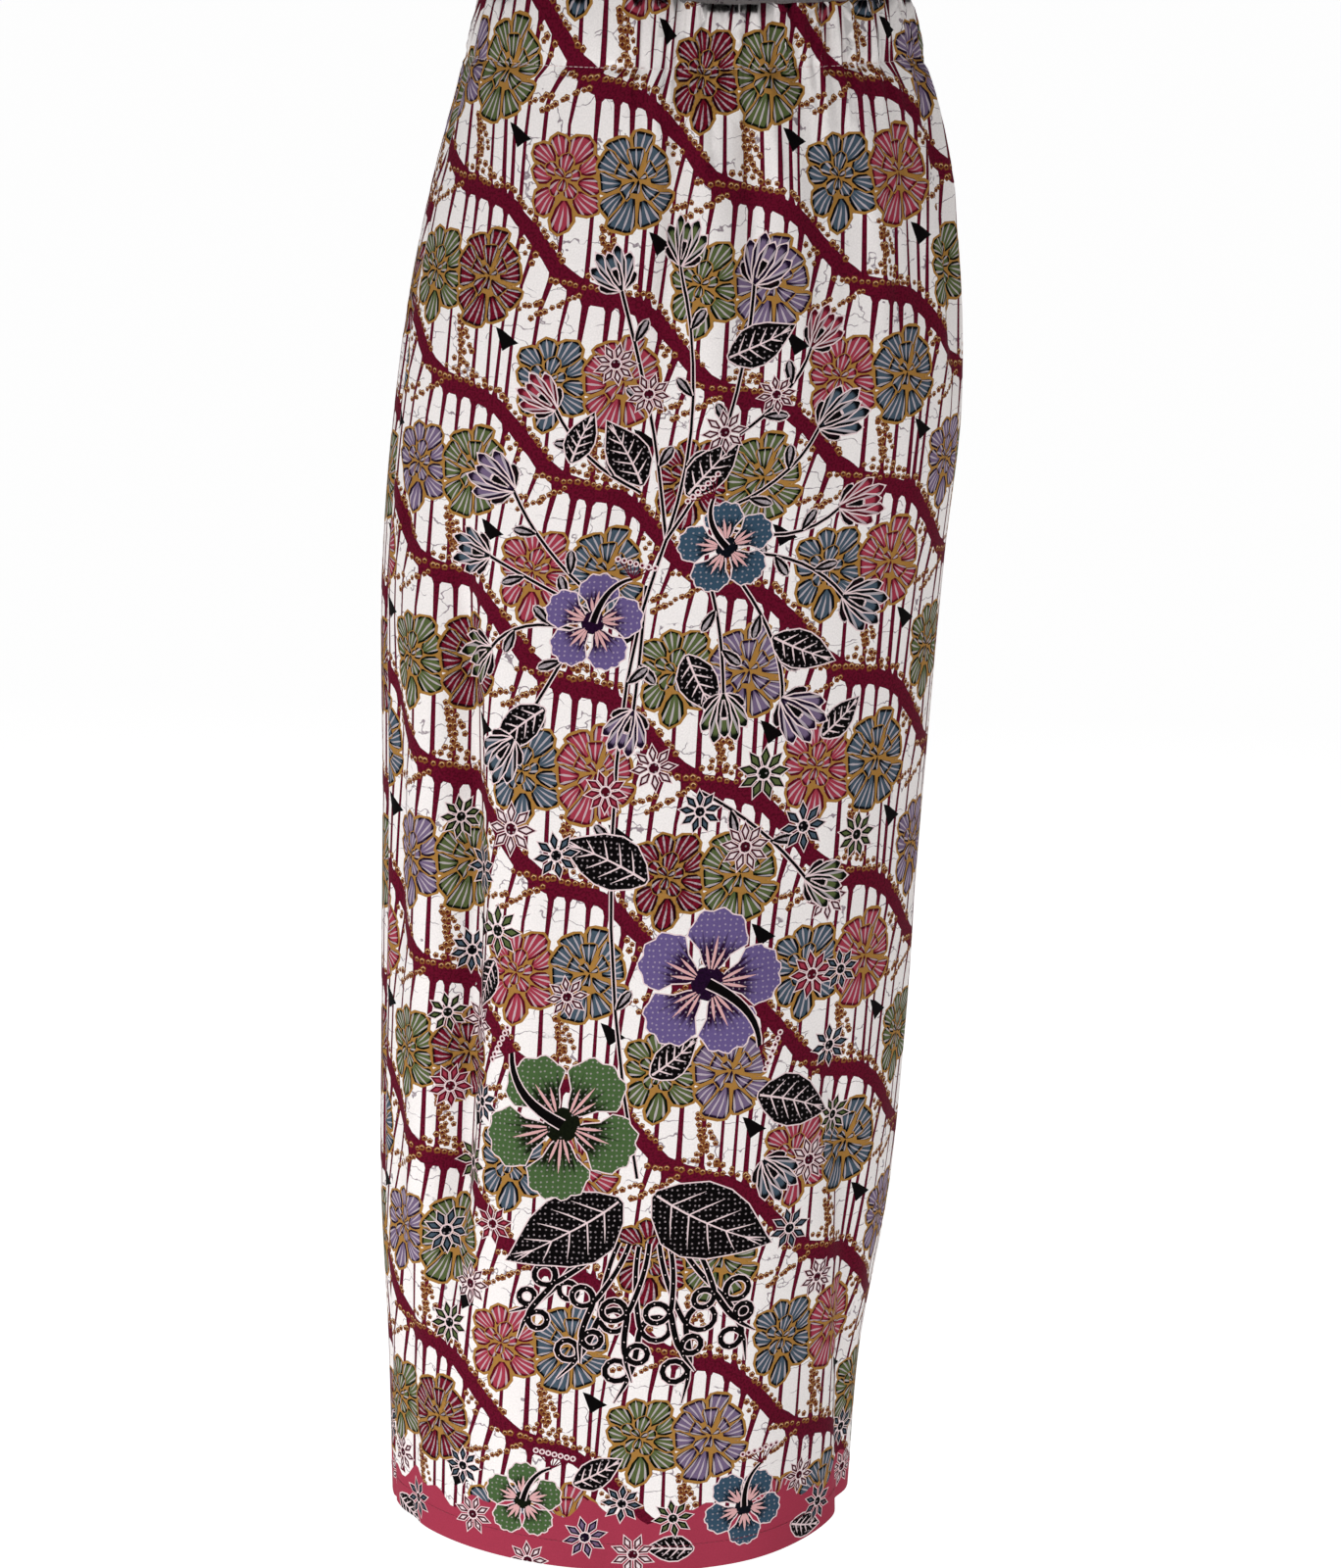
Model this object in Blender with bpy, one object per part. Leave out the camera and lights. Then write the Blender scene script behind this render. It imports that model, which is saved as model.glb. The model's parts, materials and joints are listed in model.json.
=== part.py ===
"""A ready-made batik sarong skirt, shown as worn: a hollow tube of cotton that hangs from an
elastic waist. It is a front panel, a back panel and the gathered casing that holds the elastic.
The origin is the middle of the elastic ring, +Z is up and the front faces -Y."""

import math
from collections import namedtuple

import bpy
import numpy as np

# Sizes in metres
CASING_HEIGHT = 0.038
CASING_WALL = 0.0016
CLOTH_WALL = 0.0012
SEAM_GAP = 0.0003
HEM_AT_SIDES = -0.988
HEM_DIP_FRONT = 0.012
HEM_RISE_BACK = 0.004

# Rows of the walls, from the stitch line down
FINE_ROWS = 4
FINE_DEPTH = 0.05
FRONT_ROWS = 19
BACK_ROWS = 17
CASING_ROWS = 4
COLUMNS_PER_GATHER = 4

# The bare figure that the skirt hangs round, a row for each height. Front and back are the
# depths at the middle, and a squareness of 2 is an ellipse.
Section = namedtuple("Section", "height left right front back squareness")
SECTIONS = (
    Section(0.030, -0.129, 0.129, -0.097, 0.101, 2.00),
    Section(-0.019, -0.145, 0.141, -0.104, 0.108, 2.00),
    Section(-0.046, -0.153, 0.148, -0.108, 0.113, 2.00),
    Section(-0.108, -0.170, 0.161, -0.114, 0.123, 2.03),
    Section(-0.171, -0.184, 0.168, -0.118, 0.129, 2.06),
    Section(-0.240, -0.194, 0.170, -0.120, 0.131, 2.10),
    Section(-0.336, -0.203, 0.161, -0.121, 0.129, 2.14),
    Section(-0.500, -0.206, 0.149, -0.122, 0.126, 2.18),
    Section(-0.665, -0.210, 0.138, -0.123, 0.124, 2.22),
    Section(-0.770, -0.212, 0.129, -0.124, 0.123, 2.25),
    Section(-0.875, -0.209, 0.113, -0.125, 0.122, 2.28),
    Section(-1.010, -0.208, 0.104, -0.126, 0.121, 2.30),
)

# Each panel runs anticlockwise from its first seam to its second, seen from above, with the
# front in the middle of the first one. The share with no gathers comes first.
Panel = namedtuple("Panel", "name first_seam second_seam gathers plain_share plain_columns rows")
FRONT = Panel("front_panel", 194.0, 370.0, 20, 0.30, 18, FRONT_ROWS)
BACK = Panel("back_panel", 370.0, 554.0, 26, 0.0, 0, BACK_ROWS)

# Gathers at the waist: their height from crest to base line, and how fast they fade below it.
# They swell and shrink along the waist, and slow drifts, each a size and a number of times
# across a panel, make some narrower than others.
GATHER_HEIGHT = 0.0018
GATHER_UNEVEN = 0.30
GATHER_SWELL = 1.34
GATHER_DRIFTS = ((0.010, 3), (0.004, 11))
GATHER_FADE = 0.030
GATHER_EDGE = 0.05

# Loose drapes below the gathers, as shares of the gathers' number
DRAPE_SHARE = 0.40
DRAPE_HEIGHT = 0.0030
DRAPE_FULL_AT = -0.075
DRAPE_ENDS_AT = -0.300

# The largest folds. Places are shares across the panel at the fold's top, middle and lower
# end. A trough has a negative height, a roll or ridge a positive one. Each fades in and out
# over a share of its length.
FOLD_EASE = 0.25
Fold = namedtuple("Fold", "top bottom at_top at_middle at_bottom half_width height")
FRONT_FOLDS = (
    Fold(-0.240, -0.880, 0.135, 0.180, 0.150, 0.013, -0.0150),
    Fold(-0.270, -0.860, 0.080, 0.110, 0.085, 0.016, 0.0060),
    Fold(-0.330, -0.930, 0.240, 0.270, 0.240, 0.022, 0.0040),
    Fold(-0.020, -0.400, 0.418, 0.402, 0.350, 0.013, -0.0070),
    Fold(-0.050, -0.330, 0.488, 0.488, 0.495, 0.015, 0.0045),
    Fold(-0.040, -0.300, 0.640, 0.655, 0.640, 0.014, -0.0045),
    Fold(-0.600, -1.100, 0.690, 0.800, 0.900, 0.013, -0.0070),
    Fold(-0.500, -1.060, 0.560, 0.600, 0.640, 0.035, 0.0040),
)
BACK_FOLDS = (
    Fold(-0.060, -0.520, 0.300, 0.310, 0.350, 0.016, -0.0060),
    Fold(-0.050, -0.460, 0.680, 0.670, 0.640, 0.015, -0.0070),
    Fold(-0.330, -1.080, 0.200, 0.180, 0.170, 0.014, -0.0110),
    Fold(-0.420, -1.080, 0.520, 0.500, 0.470, 0.018, -0.0080),
    Fold(-0.360, -1.080, 0.800, 0.820, 0.840, 0.014, -0.0120),
    Fold(-0.400, -1.080, 0.340, 0.340, 0.320, 0.030, 0.0050),
    Fold(-0.400, -1.080, 0.660, 0.670, 0.660, 0.030, 0.0050),
)
FOLDS = {FRONT.name: FRONT_FOLDS, BACK.name: BACK_FOLDS}

# The steps of the tables that turn a share across a panel into an angle
TABLE_HEIGHTS = np.linspace(SECTIONS[-1].height, SECTIONS[0].height, 120)
TABLE_SHARES = np.linspace(0.0, 1.0, 241)
TABLE_ANGLES = 721
TINY_SHARE = 0.0005

CLOTH_COLOUR = (0.60, 0.42, 0.43, 1.0)
CASING_COLOUR = (0.64, 0.52, 0.50, 1.0)
CLOTH_ROUGHNESS = 0.78


def clear_scene():
    for item in list(bpy.data.objects):
        bpy.data.objects.remove(item)


def smooth_read(places, values, at):
    """Reads a smooth curve through the values, with its slope at each place from its neighbours."""
    slopes = np.gradient(values, places)
    at = np.clip(at, places[0], places[-1])
    step = np.clip(np.searchsorted(places, at) - 1, 0, len(places) - 2)
    span = places[step + 1] - places[step]
    share = (at - places[step]) / span
    rest = 1.0 - share
    return (
        values[step] * (1 + 2 * share) * rest**2
        + slopes[step] * span * share * rest**2
        + values[step + 1] * (3 - 2 * share) * share**2
        - slopes[step + 1] * span * rest * share**2
    )


def section(height, column):
    rows = sorted(SECTIONS)
    places = np.array([row.height for row in rows])
    values = np.array([getattr(row, column) for row in rows])
    return smooth_read(places, values, height)


def outline(height, angle):
    """The unfolded figure's x and y at a height and an angle, with -90 degrees at the front."""
    left, right = section(height, "left"), section(height, "right")
    turn = np.radians(angle)
    power = 2.0 / section(height, "squareness")
    wide = np.sign(np.cos(turn)) * np.abs(np.cos(turn)) ** power
    deep = np.sign(np.sin(turn)) * np.abs(np.sin(turn)) ** power
    depth = np.where(deep < 0, -section(height, "front"), section(height, "back"))
    return (left + right) / 2 + wide * (right - left) / 2, deep * depth


def measure(panel):
    """The panel's width at each height of the table, and the angle at each share across it."""
    angle = np.linspace(panel.first_seam, panel.second_seam, TABLE_ANGLES)
    widths, angles = [], []
    for height in TABLE_HEIGHTS:
        x, y = outline(np.full_like(angle, height), angle)
        along = np.concatenate(([0.0], np.cumsum(np.hypot(np.diff(x), np.diff(y)))))
        widths.append(along[-1])
        angles.append(np.interp(TABLE_SHARES * along[-1], along, angle))
    return np.array(widths), np.array(angles)


def angle_at(angles, share, height):
    """Reads the angle between the table's rows and columns."""
    row = np.interp(height, TABLE_HEIGHTS, np.arange(len(TABLE_HEIGHTS)))
    column = share * (len(TABLE_SHARES) - 1)
    low = np.clip(row.astype(int), 0, len(TABLE_HEIGHTS) - 2)
    side = np.clip(column.astype(int), 0, len(TABLE_SHARES) - 2)
    up, across = row - low, column - side
    upper = angles[low + 1, side] * (1 - across) + angles[low + 1, side + 1] * across
    lower = angles[low, side] * (1 - across) + angles[low, side + 1] * across
    return lower * (1 - up) + upper * up


def eased(value):
    value = np.clip(value, 0.0, 1.0)
    return value * value * (3 - 2 * value)


def uneven(step):
    """Even steps from 0 to 1, drifted a little and still in order."""
    drifts = [size * np.sin(2 * math.pi * times * step) for size, times in GATHER_DRIFTS]
    return step + sum(drifts)


def gather_step(panel, share):
    """How far a share across the panel is through the panel's gathers, from 0 to 1."""
    steps = np.linspace(0.0, 1.0, TABLE_ANGLES)
    return np.interp((share - panel.plain_share) / (1 - panel.plain_share), uneven(steps), steps)


def wave(panel, share, count):
    """A row of uneven waves across the gathered part, from -1 to 1, which fades at its ends."""
    step = gather_step(panel, share)
    ends = eased((share - panel.plain_share) / GATHER_EDGE) * eased((1 - share) / GATHER_EDGE)
    size = 1 - GATHER_UNEVEN * (1 + np.sin(GATHER_SWELL * count * step + count)) / 2
    return ends * size * np.cos(2 * math.pi * count * step)


def fold_path(fold, height):
    """The fold's place across the panel at a height, on a parabola through its three places."""
    down = np.clip((fold.top - height) / (fold.top - fold.bottom), 0.0, 1.0)
    return (
        fold.at_top * (1 - down) * (1 - 2 * down)
        + fold.at_middle * 4 * down * (1 - down)
        + fold.at_bottom * down * (2 * down - 1)
    )


def fold_depth(panel, width, share, height):
    """How far the cloth stands out from the figure, from its gathers, drapes and folds."""
    below = np.clip(-CASING_HEIGHT / 2 - height, 0.0, None)
    out = GATHER_HEIGHT * np.exp(-below / GATHER_FADE) * wave(panel, share, panel.gathers)
    drapes = round(panel.gathers * DRAPE_SHARE)
    hang = eased((CASING_HEIGHT / 2 - height) / (CASING_HEIGHT / 2 - DRAPE_FULL_AT))
    hang = hang * eased((height - DRAPE_ENDS_AT) / (DRAPE_FULL_AT - DRAPE_ENDS_AT))
    out = out + DRAPE_HEIGHT * hang * wave(panel, share, drapes)
    for fold in FOLDS[panel.name]:
        down = (fold.top - height) / (fold.top - fold.bottom)
        reach = eased(down / FOLD_EASE) * eased((1 - down) / FOLD_EASE)
        away = (share - fold_path(fold, height)) * width / fold.half_width
        out = out + fold.height * reach * np.exp(-(away**2))
    at_seams = eased(share / GATHER_EDGE) * eased((1 - share) / GATHER_EDGE)
    return out * at_seams


def bare_point(panel, tables, share, height):
    x, y = outline(height, angle_at(tables[1], share, height))
    return np.stack((x, y), axis=-1)


def turned_out(ahead, behind):
    """The level directions that point out of a line drawn from behind to ahead."""
    along = ahead - behind
    along = along / np.linalg.norm(along, axis=-1, keepdims=True)
    return np.stack((along[..., 1], -along[..., 0]), axis=-1)


def folded_point(panel, tables, share, height):
    """The outer face's x and y where the cloth has been gathered and folded."""
    here = bare_point(panel, tables, share, height)
    ahead = bare_point(panel, tables, np.minimum(share + TINY_SHARE, 1.0), height)
    behind = bare_point(panel, tables, np.maximum(share - TINY_SHARE, 0.0), height)
    width = np.interp(height, TABLE_HEIGHTS, tables[0])
    out = fold_depth(panel, width, share, height)
    return here + turned_out(ahead, behind) * out[..., None]


def wall_points(panel, tables, share, height, wall):
    """The outer and inner points of a wall, level with each other."""
    outer = folded_point(panel, tables, share, height)
    ahead = folded_point(panel, tables, np.minimum(share + TINY_SHARE, 1.0), height)
    behind = folded_point(panel, tables, np.maximum(share - TINY_SHARE, 0.0), height)
    inner = outer - turned_out(ahead, behind) * wall
    return [np.column_stack((face, height)) for face in (outer, inner)]


def columns(panel, per_gather):
    """Shares across the panel: even ones where it is plain, then some for each gather."""
    plain = np.linspace(0.0, panel.plain_share, panel.plain_columns, endpoint=False)
    steps = uneven(np.linspace(0.0, 1.0, panel.gathers * per_gather + 1))
    return np.concatenate((plain, panel.plain_share + (1 - panel.plain_share) * steps))


def inside_seams(panel, share, width):
    """Draws the shares in at both ends, so that half the seam's gap is left at each."""
    edge = SEAM_GAP / 2 / width
    return edge + share * (1 - 2 * edge)


def hem_height(panel, share):
    middle = np.sin(math.pi * share) ** 2
    return HEM_AT_SIDES + middle * (HEM_RISE_BACK if panel is BACK else -HEM_DIP_FRONT)


def panel_rows(panel, tables):
    """Each row's shares and heights: fine rows through the gathers, then coarser ones."""
    top = -CASING_HEIGHT / 2 - SEAM_GAP / 2
    depths = list(np.linspace(0.0, FINE_DEPTH, FINE_ROWS + 1))
    rows = []
    for depth in depths:
        share = columns(panel, COLUMNS_PER_GATHER)
        rows.append((share, np.full_like(share, top - depth)))
    start = top - FINE_DEPTH
    for step in range(1, panel.rows + 1):
        share = columns(panel, COLUMNS_PER_GATHER // 2)
        end = hem_height(panel, share)
        rows.append((share, start + (end - start) * step / panel.rows))
    return [(inside_seams(panel, s, np.interp(h, TABLE_HEIGHTS, tables[0])), h) for s, h in rows]


def strip(upper, lower):
    """Faces between two rows of point numbers. Where the lower row has fewer columns, each of
    its last gaps lies under two of the upper row's."""
    halved = len(upper) - len(lower)
    plain = len(lower) - 1 - halved
    faces = [(upper[k], lower[k], lower[k + 1], upper[k + 1]) for k in range(plain)]
    for k in range(halved):
        left, middle, right = upper[plain + 2 * k : plain + 2 * k + 3]
        low_left, low_right = lower[plain + k : plain + k + 2]
        faces.append((left, low_left, middle))
        faces.append((middle, low_left, low_right))
        faces.append((middle, low_right, right))
    return faces


def make_object(name, points, faces, colour):
    """One closed solid with its own material."""
    mesh = bpy.data.meshes.new(name)
    mesh.from_pydata([tuple(map(float, p)) for p in points], [], faces)
    mesh.shade_smooth()
    paint = bpy.data.materials.new(name)
    paint.use_nodes = True
    shader = paint.node_tree.nodes["Principled BSDF"]
    shader.inputs["Base Color"].default_value = colour
    shader.inputs["Roughness"].default_value = CLOTH_ROUGHNESS
    shader.inputs["Metallic"].default_value = 0.0
    mesh.materials.append(paint)
    made = bpy.data.objects.new(name, mesh)
    bpy.context.scene.collection.objects.link(made)
    return made


def make_panel(panel):
    """A panel as a thin wall: an outer and an inner face, joined round all four edges."""
    tables = measure(panel)
    points, outer, inner = [], [], []
    for share, height in panel_rows(panel, tables):
        for face, numbers in zip(wall_points(panel, tables, share, height, CLOTH_WALL), (outer, inner)):
            numbers.append(list(range(len(points), len(points) + len(face))))
            points.extend(face)
    faces = []
    for above, below, above_in, below_in in zip(outer, outer[1:], inner, inner[1:]):
        faces.extend(strip(above, below))
        faces.extend(tuple(reversed(face)) for face in strip(above_in, below_in))
        faces.append((above[0], above_in[0], below_in[0], below[0]))
        faces.append((above[-1], below[-1], below_in[-1], above_in[-1]))
    for edge, edge_in, step in ((outer[0], inner[0], 1), (outer[-1], inner[-1], -1)):
        for a, b, c, d in zip(edge, edge[1:], edge_in[1:], edge_in):
            faces.append((a, b, c, d)[::step])
    return make_object(panel.name, points, faces, CLOTH_COLOUR)


def casing_ring(height):
    """The casing's outer and inner points at a height, once round."""
    faces = [[], []]
    for panel in (FRONT, BACK):
        tables = measure(panel)
        share = columns(panel, COLUMNS_PER_GATHER)[:-1]
        level = np.full_like(share, height)
        for face, found in zip(faces, wall_points(panel, tables, share, level, CASING_WALL)):
            face.extend(found)
    return faces


def make_casing():
    """The turned top edge with its elastic inside, as one gathered ring."""
    top, bottom = CASING_HEIGHT / 2, -CASING_HEIGHT / 2 + SEAM_GAP / 2
    points, outer, inner = [], [], []
    for height in np.linspace(top, bottom, CASING_ROWS + 1):
        for face, numbers in zip(casing_ring(height), (outer, inner)):
            start = len(points)
            numbers.append([*range(start, start + len(face)), start])
            points.extend(face)
    faces = []
    for above, below, above_in, below_in in zip(outer, outer[1:], inner, inner[1:]):
        faces.extend(strip(above, below))
        faces.extend(tuple(reversed(face)) for face in strip(above_in, below_in))
    for edge, edge_in, step in ((outer[0], inner[0], 1), (outer[-1], inner[-1], -1)):
        for a, b, c, d in zip(edge, edge[1:], edge_in[1:], edge_in):
            faces.append((a, b, c, d)[::step])
    return make_object("waist_casing", points, faces, CASING_COLOUR)


clear_scene()
make_panel(FRONT)
make_panel(BACK)
make_casing()
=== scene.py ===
# %% [markdown]
# # A batik sarong skirt
#
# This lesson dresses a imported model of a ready-made batik sarong: a front panel, a back panel
# and a gathered waist casing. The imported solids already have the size, the folds and the
# gathers. What they lack is the cloth itself: a thin sheet with finer creases, the printed
# batik, the sewing and a finish. The frame is loaded first, because every piece made below
# takes its place from it.

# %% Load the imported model
import json
import math
from collections import namedtuple

import bpy
import numpy as np
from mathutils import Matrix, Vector
from mathutils.geometry import delaunay_2d_cdt

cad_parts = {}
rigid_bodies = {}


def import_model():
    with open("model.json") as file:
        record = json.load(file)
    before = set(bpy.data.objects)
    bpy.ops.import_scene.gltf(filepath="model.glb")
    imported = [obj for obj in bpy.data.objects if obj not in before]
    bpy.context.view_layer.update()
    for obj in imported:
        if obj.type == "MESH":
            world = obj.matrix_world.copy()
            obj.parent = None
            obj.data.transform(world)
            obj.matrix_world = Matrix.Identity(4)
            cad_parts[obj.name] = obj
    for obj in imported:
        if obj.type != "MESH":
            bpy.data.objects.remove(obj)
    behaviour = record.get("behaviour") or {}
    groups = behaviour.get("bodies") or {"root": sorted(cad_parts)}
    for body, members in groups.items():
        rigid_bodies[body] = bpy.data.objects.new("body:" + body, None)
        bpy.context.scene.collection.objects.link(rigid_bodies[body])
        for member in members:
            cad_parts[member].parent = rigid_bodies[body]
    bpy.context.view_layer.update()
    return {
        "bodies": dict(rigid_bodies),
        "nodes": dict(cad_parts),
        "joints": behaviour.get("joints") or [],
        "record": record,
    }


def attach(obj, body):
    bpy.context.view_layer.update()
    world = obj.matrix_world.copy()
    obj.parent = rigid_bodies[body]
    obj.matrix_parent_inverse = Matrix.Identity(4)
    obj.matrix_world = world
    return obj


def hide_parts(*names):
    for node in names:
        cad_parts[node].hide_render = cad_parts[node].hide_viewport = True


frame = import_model()
print("nodes:", [*frame["nodes"]])

# %% [markdown]
# ## The figure that the cloth hangs round
#
# The sheet has to follow the solid walls closely, so the same few sections are written down
# again: at each height, how far the cloth reaches to the left, right, front and back, and how
# square the ring is. A smooth curve is read through them. Reading points from the solid mesh
# would also work, but a formula can be evaluated at any point of the cloth, and the print
# below needs tens of thousands of points.

# %% The sections
CASING_HEIGHT = 0.038
STITCH_LINE = -CASING_HEIGHT / 2
TOP_EDGE = CASING_HEIGHT / 2
HEM_AT_SIDES = -0.988
HEM_DIP_FRONT = 0.012
HEM_RISE_BACK = 0.004
Section = namedtuple("Section", "height left right front back squareness")
SECTIONS = (
    Section(0.030, -0.129, 0.129, -0.097, 0.101, 2.00),
    Section(-0.019, -0.145, 0.141, -0.104, 0.108, 2.00),
    Section(-0.046, -0.153, 0.148, -0.108, 0.113, 2.00),
    Section(-0.108, -0.170, 0.161, -0.114, 0.123, 2.03),
    Section(-0.171, -0.184, 0.168, -0.118, 0.129, 2.06),
    Section(-0.240, -0.194, 0.170, -0.120, 0.131, 2.10),
    Section(-0.336, -0.203, 0.161, -0.121, 0.129, 2.14),
    Section(-0.500, -0.206, 0.149, -0.122, 0.126, 2.18),
    Section(-0.665, -0.210, 0.138, -0.123, 0.124, 2.22),
    Section(-0.770, -0.212, 0.129, -0.124, 0.123, 2.25),
    Section(-0.875, -0.209, 0.113, -0.125, 0.122, 2.28),
    Section(-1.010, -0.208, 0.104, -0.126, 0.121, 2.30),
)


def smooth_read(places, values, at):
    """Reads a smooth curve through the values."""
    slopes = np.gradient(values, places)
    at = np.clip(at, places[0], places[-1])
    step = np.clip(np.searchsorted(places, at) - 1, 0, len(places) - 2)
    span = places[step + 1] - places[step]
    share = (at - places[step]) / span
    rest = 1.0 - share
    return (
        values[step] * (1 + 2 * share) * rest**2
        + slopes[step] * span * share * rest**2
        + values[step + 1] * (3 - 2 * share) * share**2
        - slopes[step + 1] * span * rest * share**2
    )


def section(height, column):
    rows = sorted(SECTIONS)
    places = np.array([row.height for row in rows])
    return smooth_read(places, np.array([getattr(row, column) for row in rows]), height)


def figure_outline(height, angle):
    """The bare figure's x and y at a height and an angle, with -90 degrees at the front."""
    left, right = section(height, "left"), section(height, "right")
    turn = np.radians(angle)
    power = 2.0 / section(height, "squareness")
    wide = np.sign(np.cos(turn)) * np.abs(np.cos(turn)) ** power
    deep = np.sign(np.sin(turn)) * np.abs(np.sin(turn)) ** power
    depth = np.where(deep < 0, -section(height, "front"), section(height, "back"))
    return (left + right) / 2 + wide * (right - left) / 2, deep * depth


print("waist to hem:", round(TOP_EDGE - HEM_AT_SIDES + HEM_DIP_FRONT, 3), "m")

# %% [markdown]
# ## Two panels, their gathers and their folds
#
# A maker cuts a front and a back panel and sews them at the sides. Along each panel a share
# runs from 0 at one seam to 1 at the other. The gathers are uneven waves that fade below the
# elastic, and the large folds are troughs and rolls that run down the cloth. These are the
# folds of the solids, with their sizes unchanged.

# %% Panels, gathers and large folds
Panel = namedtuple("Panel", "name first_seam second_seam gathers plain_share")
FRONT = Panel("front_panel", 194.0, 370.0, 20, 0.30)
BACK = Panel("back_panel", 370.0, 554.0, 26, 0.0)
GATHER_HEIGHT = 0.0018
GATHER_UNEVEN = 0.30
GATHER_SWELL = 1.34
GATHER_DRIFTS = ((0.010, 3), (0.004, 11))
GATHER_FADE = 0.030
GATHER_EDGE = 0.05
DRAPE_SHARE = 0.40
DRAPE_HEIGHT = 0.0030
DRAPE_FULL_AT = -0.075
DRAPE_ENDS_AT = -0.300
FOLD_EASE = 0.25
Fold = namedtuple("Fold", "top bottom at_top at_middle at_bottom half_width height")
FOLDS = {
    FRONT.name: (
        Fold(-0.240, -0.880, 0.135, 0.180, 0.150, 0.013, -0.0150),
        Fold(-0.270, -0.860, 0.080, 0.110, 0.085, 0.016, 0.0060),
        Fold(-0.330, -0.930, 0.240, 0.270, 0.240, 0.022, 0.0040),
        Fold(-0.020, -0.400, 0.418, 0.402, 0.350, 0.013, -0.0070),
        Fold(-0.050, -0.330, 0.488, 0.488, 0.495, 0.015, 0.0045),
        Fold(-0.040, -0.300, 0.640, 0.655, 0.640, 0.014, -0.0045),
        Fold(-0.600, -1.100, 0.690, 0.800, 0.900, 0.013, -0.0070),
        Fold(-0.500, -1.060, 0.560, 0.600, 0.640, 0.035, 0.0040),
    ),
    BACK.name: (
        Fold(-0.060, -0.520, 0.300, 0.310, 0.350, 0.016, -0.0060),
        Fold(-0.050, -0.460, 0.680, 0.670, 0.640, 0.015, -0.0070),
        Fold(-0.330, -1.080, 0.200, 0.180, 0.170, 0.014, -0.0110),
        Fold(-0.420, -1.080, 0.520, 0.500, 0.470, 0.018, -0.0080),
        Fold(-0.360, -1.080, 0.800, 0.820, 0.840, 0.014, -0.0120),
        Fold(-0.400, -1.080, 0.340, 0.340, 0.320, 0.030, 0.0050),
        Fold(-0.400, -1.080, 0.660, 0.670, 0.660, 0.030, 0.0050),
    ),
}
print("large folds:", {name: len(folds) for name, folds in FOLDS.items()})
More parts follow.
